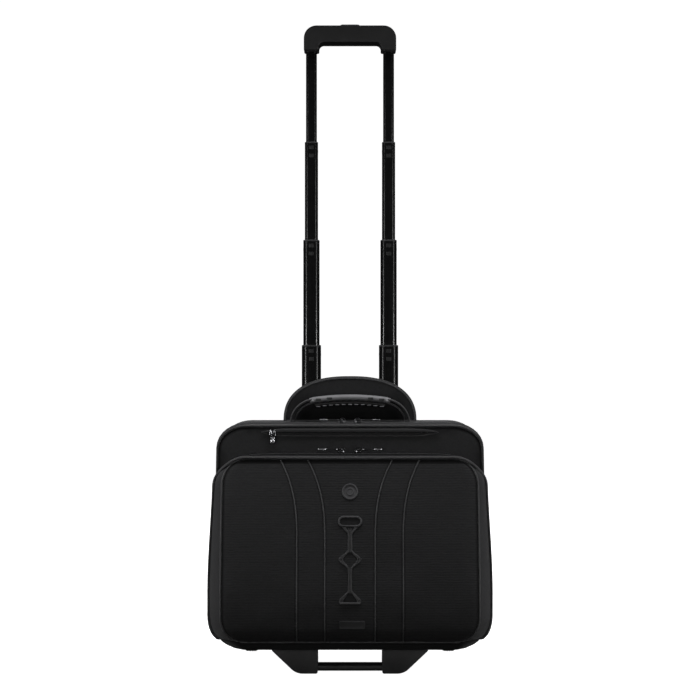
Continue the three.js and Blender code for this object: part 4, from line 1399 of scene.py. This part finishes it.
# %% Trolley tubes and collars
SECTION_RADII = {"tube_1": 4.5, "tube_2": 5.6, "tube_3": 7.2, "tube_4": 9.0, "outer_tube": 11.0}
BODY_OF_TUBE = {
    "tube_1": "trolley_stage_1", "tube_2": "trolley_stage_2", "tube_3": "trolley_stage_3",
    "tube_4": "trolley_stage_4", "outer_tube": "bag",
}
TUBE_SEGMENTS = 4 * CORNER_POINTS


def sleeve(middle, stations):
    """A ring taken through sections at heights: up the outside, and back down the inside."""
    def place(u, t):
        section, z = stations[round(t * (len(stations) - 1))]
        x, y = section(u)
        return Vector((middle.x + x, middle.y + y, z))
    return loft(TUBE_SEGMENTS, len(stations) - 1, place)


def grown(half, radius, by):
    """The section of a tube, grown by some millimetres all round."""
    return cornered_section(half.x + by * MM, half.y + by * MM, (radius + by) * MM)


def tube_piece(name, side_name):
    node = f"{name}_{side_name}"
    low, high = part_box(node)
    middle, half = middle_and_half(node)
    outside = grown(half, SECTION_RADII[name], 0)
    inside = grown(half, SECTION_RADII[name], -1)
    mouth = cornered_section(half.x * 0.985, half.y * 0.985, SECTION_RADII[name] * MM * 0.985)
    bm = sleeve(middle, [
        (outside, low.z), (outside, high.z - 0.8 * MM), (mouth, high.z), (inside, high.z),
        (inside, low.z), (outside, low.z),
    ])
    finish_piece(node + "_smooth", bm, [TUBE_GLOSS], BODY_OF_TUBE[name], [node], 35)


def collar_piece(number, side_name):
    node = f"collar_{number}_{side_name}"
    low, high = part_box(node)
    middle, half = middle_and_half(f"tube_{number}_{side_name}")
    _, inner_half = middle_and_half(f"tube_{number - 1}_{side_name}")
    radius = SECTION_RADII[f"tube_{number}"]
    inner = grown(inner_half, SECTION_RADII[f"tube_{number - 1}"], 0.3)
    outer = cornered_section(half.x + 0.08 * MM, half.y + 0.08 * MM, radius * MM)
    neck = grown(half, radius, -1.2)
    mouth = middle.z + half.z + 0.1 * MM
    bm = sleeve(middle, [
        (inner, low.z), (neck, low.z), (neck, mouth), (outer, mouth), (outer, high.z - 0.7 * MM),
        (neck, high.z), (inner, high.z), (inner, low.z),
    ])
    body = BODY_OF_TUBE[f"tube_{number}"]
    finish_piece(node + "_smooth", bm, [PLASTIC], body, [node], 35)
    tabs = bmesh.new()
    front, back = middle.y - half.y, middle.y + half.y
    for drop in (10.0, 23.5):
        tab = oblong(4.3 * MM, 3.2 * MM, 0.8 * MM, (middle.x, high.z - drop * MM))
        join_into(tabs, plate(tab, front - 0.15 * MM, front + 0.5 * MM, 0.12 * MM))
        join_into(tabs, plate(tab, back - 0.5 * MM, back + 0.15 * MM, 0.12 * MM))
    side = 1 if (number + (side_name == "left")) % 2 else -1
    nub = oblong(2.2 * MM, 2.6 * MM, 1.2 * MM, (middle.y, high.z - 16 * MM))
    edge = middle.x + side * half.x
    join_into(tabs, plate(nub, edge - 0.18 * MM, edge + 0.18 * MM, 0.1 * MM, "X"))
    finish_piece(f"snap_tabs_{number}_{side_name}", tabs, [SOFT_GRIP], body)


for side_name in ("left", "right"):
    for tube_name in SECTION_RADII:
        tube_piece(tube_name, side_name)
    for number in (2, 3, 4):
        collar_piece(number, side_name)

# %% [markdown]
# The grip is an arch over both tubes, moulded in a front and a rear shell. Each shell is a plate with
# the arch for its outline and a rounded rim. Rows of small dimples keep a thumb from slipping.

# %% Grip and release button
grip_low, grip_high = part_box("grip_front_shell")
_, grip_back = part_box("grip_rear_shell")
button_low, button_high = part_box("release_button")
LEG_INNER = 51.9 * MM
GRIP_UNDERSIDE = 1020.6 * MM


def grip_corners():
    inner, outer = LEG_INNER, grip_high.x
    right = [(inner, grip_low.z, 2.5 * MM), (outer, grip_low.z, 2.5 * MM), (outer, grip_high.z, 21 * MM)]
    return mirrored(right) + [(-inner, GRIP_UNDERSIDE, 8 * MM), (inner, GRIP_UNDERSIDE, 8 * MM)]


def make_grip():
    for name, outer_y, inner_y in (
        ("grip_front", grip_low.y, TROLLEY_Y - 0.12 * MM), ("grip_rear", grip_back.y, TROLLEY_Y + 0.12 * MM),
    ):
        bm = plate(grip_corners(), *sorted((outer_y, inner_y)), corner_steps=10)
        rim = [e for e in bm.edges if all(abs(v.co.y - outer_y) < 1e-6 for v in e.verts)]
        bmesh.ops.bevel(
            bm, geom=rim, offset=6.5 * MM, offset_type="OFFSET", affect="EDGES", segments=6, profile=0.5,
            material=-1, clamp_overlap=True,
        )
        finish_piece(name, bm, [SOFT_GRIP], "trolley_stage_1", [name + "_shell"], 30)
    dimples = bmesh.new()
    for row in range(3):
        for k in range(9):
            for side in (-1, 1):
                x = side * (22 + k * 2.4 + (row % 2) * 1.2) * MM
                place = Matrix.Translation((x, TROLLEY_Y + (row - 1) * 3 * MM, grip_high.z))
                shape = place @ Matrix.Diagonal((0.75 * MM, 0.75 * MM, 0.45 * MM, 1))
                bmesh.ops.create_icosphere(dimples, subdivisions=1, radius=1, matrix=shape)
    finish_piece("grip_dimples", dimples, [SOFT_GRIP], "trolley_stage_1")
    lips = bmesh.new()
    for side in (-1, 1):
        centre = (side * (LEG_INNER + grip_high.x) / 2, TROLLEY_Y)
        lip = oblong(12.2 * MM, 14 * MM, 5 * MM, centre)
        join_into(lips, plate(lip, grip_low.z - 0.1 * MM, grip_low.z + 2.2 * MM, 0.8 * MM, "Z"))
    finish_piece("grip_lips", lips, [PLASTIC], "trolley_stage_1")
    top = oblong(button_high.x, (button_high.y - button_low.y) / 2, 4 * MM, (0, TROLLEY_Y))
    button = plate(top, button_low.z, button_high.z, 1.8 * MM, "Z", rim_steps=4)
    finish_piece("button", button, [PLASTIC], "release", ["release_button"], 30)


make_grip()

# %% [markdown]
# ## Stand, bezel and wheels
# The stand is one moulding: a plate whose outline has sloping ends and a wide window, with a round
# grab bar across it. The wheels are spun from a profile, tyre and hub apart, and the hub is cut into
# spokes by a ring of plates.

# %% Stand and bezel
stand_low, stand_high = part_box("front_stand")
FOOT, WINDOW, BAR_TOP, BAR_BOTTOM = 84 * MM, 50.4 * MM, 14 * MM, 3 * MM
BAR_BACK = behind(52)


def make_stand():
    half, top = stand_high.x, stand_high.z
    stand, pads = bmesh.new(), bmesh.new()
    corners = [
        (WINDOW, 0.0, 3 * MM), (FOOT, 0.0, 9 * MM), (half, top - 1 * MM, 2 * MM),
        (half - 2 * MM, top, 0.4 * MM), (WINDOW, top, 1 * MM),
    ]
    for side in (-1, 1):
        wing = [(side * x, z, r) for x, z, r in corners[::side]]
        join_into(stand, plate(wing, stand_low.y, stand_high.y, 2.4 * MM))
        foot_middle = (side * (WINDOW + FOOT) / 2, (stand_low.y + stand_high.y) / 2)
        foot = oblong(12 * MM, 10 * MM, 3 * MM, foot_middle)
        join_into(pads, plate(foot, 0.0, 1.6 * MM, 0.5 * MM, "Z"))
    bar_y, half_y = (stand_low.y + BAR_BACK) / 2 + 0.8 * MM, (BAR_BACK - stand_low.y) / 2 - 1 * MM
    bar = [Vector((x * MM, bar_y, (BAR_TOP + BAR_BOTTOM) / 2)) for x in range(-52, 53, 8)]
    bar_section = soft_section(half_y, (BAR_TOP - BAR_BOTTOM) / 2, 3.4)
    join_into(stand, sweep(bar, bar_section, 32, side=ACROSS))
    finish_piece("stand", stand, [PLASTIC], "bag", ["front_stand"], 32)
    finish_piece("stand_feet", pads, [TYRE], "bag")


make_stand()
bezel_low, bezel_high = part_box("trolley_bezel")


def make_bezel():
    bezel = bmesh.new()
    for side_name in ("left", "right"):
        middle, half = middle_and_half(f"tube_4_{side_name}")
        outer = cornered_section(half.x + 3.2 * MM, half.y + 3.2 * MM, 11 * MM)
        inner = cornered_section(half.x + 0.4 * MM, half.y + 0.4 * MM, 9 * MM)
        lip, skirt_end = bezel_high.z + 0.8 * MM, bezel_low.z - 5 * MM
        join_into(bezel, sleeve(middle, [
            (outer, bezel_low.z), (outer, bezel_high.z + 0.2 * MM), (outer, lip), (inner, lip),
            (inner, skirt_end), (outer, skirt_end), (outer, bezel_low.z),
        ]))
    finish_piece("bezel", bezel, [PLASTIC], "bag", ["trolley_bezel"], 32)


make_bezel()

# %% Wheels
AXLE = {j["name"]: Vector(j["pos_m"]) for j in frame["joints"] if j.get("continuous")}


def spun(profile, centre, steps=64):
    """A closed profile of (radius, across) points turned about an axle along X."""
    bm = bmesh.new()
    verts = [bm.verts.new((centre.x + across, centre.y, centre.z + radius)) for radius, across in profile]
    edges = [bm.edges.new((a, b)) for a, b in zip(verts, verts[1:] + verts[:1])]
    bmesh.ops.spin(
        bm, geom=verts + edges, cent=centre, axis=(1, 0, 0), dvec=(0, 0, 0), angle=2 * math.pi,
        steps=steps, use_merge=True, use_duplicate=False,
    )
    close_up(bm)
    return bm


def make_wheel(side_name):
    centre = AXLE[f"wheel_spin_{side_name}"]
    body = f"wheel_{side_name}"
    radius, half, hub = 36 * MM, 12 * MM, 27 * MM
    crown = []
    for k in range(25):
        across = half * (k / 12 - 1)
        groove = 0.9 * MM if k in (8, 12, 16) else 0.0
        crown.append((radius - 3.2 * MM * abs(across / half) ** 4 - groove, across))
    tyre = spun([(hub, -half)] + crown + [(hub, half)], centre, 72)
    finish_piece(f"tyre_{side_name}", tyre, [TYRE], body, [f"wheel_tyre_{side_name}"], 40)
    wheel = bmesh.new()
    face = 10.5
    for profile in (
        [(27, -face), (27, face), (24, face), (23, face - 2), (23, 2 - face), (24, -face)],
        [(3.3, -face), (8, -face), (9.5, 2 - face), (9.5, face - 2), (8, face), (3.3, face)],
        [(9, -1.4), (23.4, -1.4), (23.4, 1.4), (9, 1.4)],
    ):
        join_into(wheel, spun([(r * MM, across * MM) for r, across in profile], centre))
    for k in range(6):
        outline = oblong(2.2 * MM, 7.8 * MM, 0.6 * MM, (0, 16.4 * MM))
        spoke = plate(outline, (2.6 - face) * MM, (face - 2.6) * MM, 0.6 * MM, "X")
        turn = Matrix.Translation(centre) @ Matrix.Rotation(math.tau * k / 6, 4, "X")
        bmesh.ops.transform(spoke, matrix=turn, verts=spoke.verts)
        join_into(wheel, spoke)
    hub_node = f"wheel_hub_{side_name}"
    finish_piece(f"hub_{side_name}", wheel, [PLASTIC], body, [hub_node], 32)


def make_housing(side_name):
    """The wheel's arch: two cheeks, a curved mudguard over the tyre, and a roof."""
    node = f"wheel_housing_{side_name}"
    low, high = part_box(node)
    centre = AXLE[f"wheel_spin_{side_name}"]
    arch = bmesh.new()
    floor, knee, top = body_low.z + 0.4 * MM, 24 * MM, high.z
    cheek = [
        (low.y, floor, 2 * MM), (centre.y - 13 * MM, floor, 4 * MM), (centre.y - 12 * MM, knee, 9 * MM),
        (centre.y + 12 * MM, knee, 9 * MM), (centre.y + 14 * MM, floor, 4 * MM),
        (high.y, body_low.z + 6 * MM, 4 * MM), (high.y, top, 8 * MM), (low.y, top, 8 * MM),
    ]
    for side in (-1, 1):
        edges = sorted((centre.x + side * 18 * MM, centre.x + side * 14.6 * MM))
        join_into(arch, plate(cheek, *edges, 0.8 * MM, "X"))
    guard = [(centre.y + y, centre.z + z) for y, z in arc((0, 0), (41.6 * MM, 41.6 * MM), 200, 35, 24)]
    guard = [Vector((centre.x, y, z)) for y, z in guard if y < high.y + 1 * MM]
    join_into(arch, sweep(guard, soft_section(16 * MM, 1.5 * MM, 8), 20, side=(1, 0, 0)))
    roof = oblong(17.6 * MM, (high.y - low.y) / 2, 3 * MM, (centre.x, (high.y + low.y) / 2))
    join_into(arch, plate(roof, top - 3 * MM, top, 0.8 * MM, "Z"))
    finish_piece(f"arch_{side_name}", arch, [PLASTIC], "bag", [node], 32)
    pin = bmesh.new()
    core = 0.01
    head = [(core, 17.8), (5.6, 17.8), (5.2, 19.2), (3, 20), (core, 20.2)]
    for profile in (
        [(core, -17.8), (3, -17.8), (3, 17.8), (core, 17.8)], head, [(r, -across) for r, across in head],
    ):
        join_into(pin, spun([(r * MM, across * MM) for r, across in profile], centre, 32))
    finish_piece(f"axle_pin_{side_name}", pin, [STEEL], "bag", [f"axle_{side_name}"], 32)


for side_name in ("left", "right"):
    make_wheel(side_name)
    make_housing(side_name)

# %% [markdown]
# ## Trim on the pocket
# Three slots run down the middle of the pocket, and a bundle of thin cords is gathered between them
# and opens round each one. The badge and the label plate are plain mouldings with a raised rim.

# %% Gathered lace
SPREAD = [(116, 16.5), (120, 16), (127, 9.5), (135, 2.8), (150, 2.2), (168, 2.8), (173, 7), (178, 14),
          (182, 16.8), (186, 14), (191, 7), (197, 2.8), (215, 2.6), (222, 3.2), (228, 8.5), (232, 12)]


def lace_path(share, low=117.0, high=231.5, count=110):
    path = []
    for k in range(count + 1):
        z = low + (high - low) * k / count
        width = through(SPREAD, z)
        wander = noise.noise(Vector((share * 9, z * 0.09, 3))) * 0.9
        gathered = 1 - smooth_step(2, 9, width)
        lift = 1.5 + gathered * (1.4 - abs(share) * 1.2) + wander * 0.3
        path.append(face_point(share * width + wander * gathered * 0.8, z, lift))
    return path


def lay_on_face(bm, z, reach, sink=0.4):
    """Turns a flat piece to the slope of the pocket's front at a height, and puts it there."""
    slope = math.atan2(face_depth(0, z + reach) - face_depth(0, z - reach), 2 * reach)
    bmesh.ops.rotate(bm, verts=bm.verts, matrix=Matrix.Rotation(-slope, 3, "X"))
    bmesh.ops.translate(bm, verts=bm.verts, vec=(0, behind(face_depth(0, z) - sink), z * MM))


def make_lace():
    lace, core, slots = bmesh.new(), bmesh.new(), bmesh.new()
    for share in (-1.0, -0.86, -0.7, 0.7, 0.86, 1.0):
        join_into(lace, sweep(lace_path(share), round_section(0.85 * MM), 7))
    for share in (-0.35, 0.0, 0.35):
        for low, high in ((131, 171), (193, 230)):
            join_into(core, sweep(lace_path(share, low, high), round_section(1.1 * MM), 7))
    foot = [face_point(16 * (k / 8 - 1), 115.5, 1.4) for k in range(17)]
    join_into(lace, sweep(foot, soft_section(1.8 * MM, 1.5 * MM, 3), 12, side=(0, 0, 1)))
    ends = [*arc((10.5, 239.5), (7, 7), -90, 90, 8), *arc((-10.5, 239.5), (7, 7), 90, 270, 8)]
    slot_ring = [face_point(x, z, 1.4) for x, z in ends]
    join_into(lace, sweep(slot_ring, round_section(1.7 * MM), 10, closed=True))
    for z, half, height in ((239.5, 15.5, 5.6), (182, 12.5, 5.0), (121, 12, 4.0)):
        outline = oblong(half * MM, height * MM, min(height, 4.6) * MM)
        slot = plate(outline, -0.5 * MM, 0.4 * MM, 0.2 * MM)
        lay_on_face(slot, z, 8, 0)
        join_into(slots, slot)
    for name, bm, finish, stands_for in (
        ("lace_core", core, DARK_PIPING, ()), ("lace", lace, LACE, ["lace_trim"]),
    ):
        finish_piece(name, bm, [finish], "front_pocket", stands_for, 60)
    finish_piece("lace_slots", slots, [TAPE], "front_pocket")


make_lace()


# %% Badge and label
def make_badge():
    middle, half = middle_and_half("front_badge")
    radius = half.x / MM
    profile = [
        (0.01, 0.6), (radius * 0.30, 0.6), (radius * 0.36, 1.3), (radius * 0.44, 1.3), (radius * 0.5, 0.6),
        (radius - 2.6, 0.6), (radius - 2.0, 2.1), (radius - 0.9, 2.3), (radius, 1.6), (radius, -0.4),
        (0.01, -0.4),
    ]
    bm = spun([(r * MM, h * MM) for r, h in profile], Vector((0, 0, 0)), 56)
    bmesh.ops.rotate(bm, verts=bm.verts, matrix=Matrix.Rotation(-math.pi / 2, 3, "Z"))
    lay_on_face(bm, middle.z / MM, 10)
    finish_piece("badge", bm, [BADGE_METAL], "front_pocket", ["front_badge"], 30)


def make_label():
    middle, half = middle_and_half("front_label_plate")
    bm = plate(oblong(half.x, half.z, 1.6 * MM), -1.8 * MM, 0.3 * MM)
    face = [f for f in bm.faces if f.calc_center_median().y < -1.7 * MM]
    bmesh.ops.inset_region(bm, faces=face, thickness=1.3 * MM, depth=0.0)
    bmesh.ops.inset_region(bm, faces=face, thickness=0.3 * MM, depth=-0.8 * MM)
    lay_on_face(bm, middle.z / MM, 6)
    bmesh.ops.translate(bm, verts=bm.verts, vec=(middle.x, 0, 0))
    finish_piece("label", bm, [LABEL], "front_pocket", ["front_label_plate"], 30)


make_badge()
make_label()

# %% [markdown]
# ## Zip sliders and pulls
# Every slider is made in one local frame, with its pull along +X and its hinge pin along Y, and is
# then put in place by one matrix. The pin's place is read from the joint that the pull turns on.

# %% Sliders and pulls
PIN_HEIGHT = 5 * MM
FLIPS = {j["name"]: Vector(j["pos_m"]) for j in frame["joints"] if "_flip" in j["name"]}


def mirrored_plate(half_outline, low, high, rim):
    """A level plate that is alike on both sides of its long axis. All sizes are in millimetres."""
    outline = half_outline + [(x, -y, r) for x, y, r in reversed(half_outline)]
    corners = [(x * MM, y * MM, r * MM) for x, y, r in outline]
    return plate(corners, low * MM, high * MM, rim * MM, "Z")


def slider_mesh():
    bm = mirrored_plate([(5.5, -5, 1), (-1, -5, 1.5), (-5.5, -3, 1.2)], 0.0, 3, 0.7)
    rise = [(4.1, 2.6), (4.2, 4.6), (3.0, 6.6), (1.2, 7.3)]
    bail = [(-x, z) for x, z in rise] + rise[::-1]
    path = [Vector((x * MM, 0, z * MM)) for x, z in bail]
    join_into(bm, sweep(path, soft_section(1.7 * MM, 0.7 * MM, 4), 12, side=ACROSS))
    return bm


PIN_Z = PIN_HEIGHT / MM


def ring(points, z, radius, segments=10):
    """A closed wire through level points, in millimetres."""
    path = [Vector((x, y, z)) * MM for x, y in points]
    return sweep(path, round_section(radius * MM), segments, closed=True, side=(0, 0, 1))


def long_pull(length, half_width):
    """A loop on the pin, a thin shaft and a bright flared tip."""
    near = [(0, -2.6), (0, 2.6), (3, 3.4), (7, 3.2), (10, 1.6), (10, -1.6), (7, -3.2), (3, -3.4)]
    bm = ring(near, PIN_Z, 0.75)
    shaft = [Vector((x * MM, 0, PIN_HEIGHT)) for x in (9.5, 13, 18, length - 12)]
    join_into(bm, sweep(shaft, soft_section(0.8 * MM, 1.1 * MM, 3), 12, side=(0, 0, 1)))
    tip = mirrored_plate([
        (length - 14, -1.3, 0.5), (length - 3, -half_width, 1.6), (length, -half_width * 0.45, 1.2),
    ], PIN_Z - 0.9, PIN_Z + 0.9, 0.4)
    for face in tip.faces:
        face.material_index = 1
    join_into(bm, tip)
    return bm


def short_pull(length):
    """A stamped tab with a window, and a beaded end."""
    bm = ring([(0, -2.8), (0, 2.8), (4, 3.6), (7, 2.2), (7, -2.2), (4, -3.6)], PIN_Z, 0.85)
    tab = [(6, -2.4, 0.8), (10.5, -3.6, 1.4), (length, -3.2, 1.8)]
    join_into(bm, mirrored_plate(tab, PIN_Z - 1, PIN_Z + 1, 0.5))
    window = [(9, 0), (11, 1.6), (14, 1.6), (15.5, 0), (14, -1.6), (11, -1.6)]
    join_into(bm, ring(window, PIN_Z + 1, 0.45, 8))
    return bm


def make_zip(name, flip, turn, pull, *finishes):
    """Puts one slider and its pull in place. The slider takes the first finish."""
    base = FLIPS[flip] - turn @ Vector((0, 0, PIN_HEIGHT))
    matrix = Matrix.Translation(base) @ turn.to_4x4()
    slot = "bright_metal" if finishes[0] == BRIGHT_METAL else "zip_metal"
    for part, bm, part_finishes in (("slider", slider_mesh(), finishes[:1]), ("pull", pull, finishes)):
        bmesh.ops.transform(bm, matrix=matrix, verts=bm.verts)
        node = f"{name}_{part}"
        finish_piece(node + "_fine", bm, part_finishes, node, [node], 32)


for side_name, angle in (("left", math.pi), ("right", 0.0)):
    turn = Matrix.Rotation(angle, 3, "Z")
    for zip_name, length, half_width in (("main_zip", 38, 3.6), ("pocket_zip", 39, 3.4)):
        name, flip = f"{zip_name}_{side_name}", f"{zip_name}_flip_{side_name}"
        make_zip(name, flip, turn, long_pull(length, half_width), ZIP_METAL, BRIGHT_METAL)
hanging = Matrix(((0, 1, 0), (0, 0, -1), (-1, 0, 0)))
make_zip("organiser_zip", "organiser_zip_flip", hanging, short_pull(17), BRIGHT_METAL)

# %% [markdown]
# ## Parts kept as the frame has them
# A few parts inside the case already have their true shape. They keep it, and only get a finish.

# %% Finishes for the inner parts
for node_name, node in nodes.items():
    if node.hide_render:
        continue
    finish = LINING if "lining" in node_name else PLASTIC
    node.data.materials.clear()
    node.data.materials.append(finish)
    print("kept:", node_name)
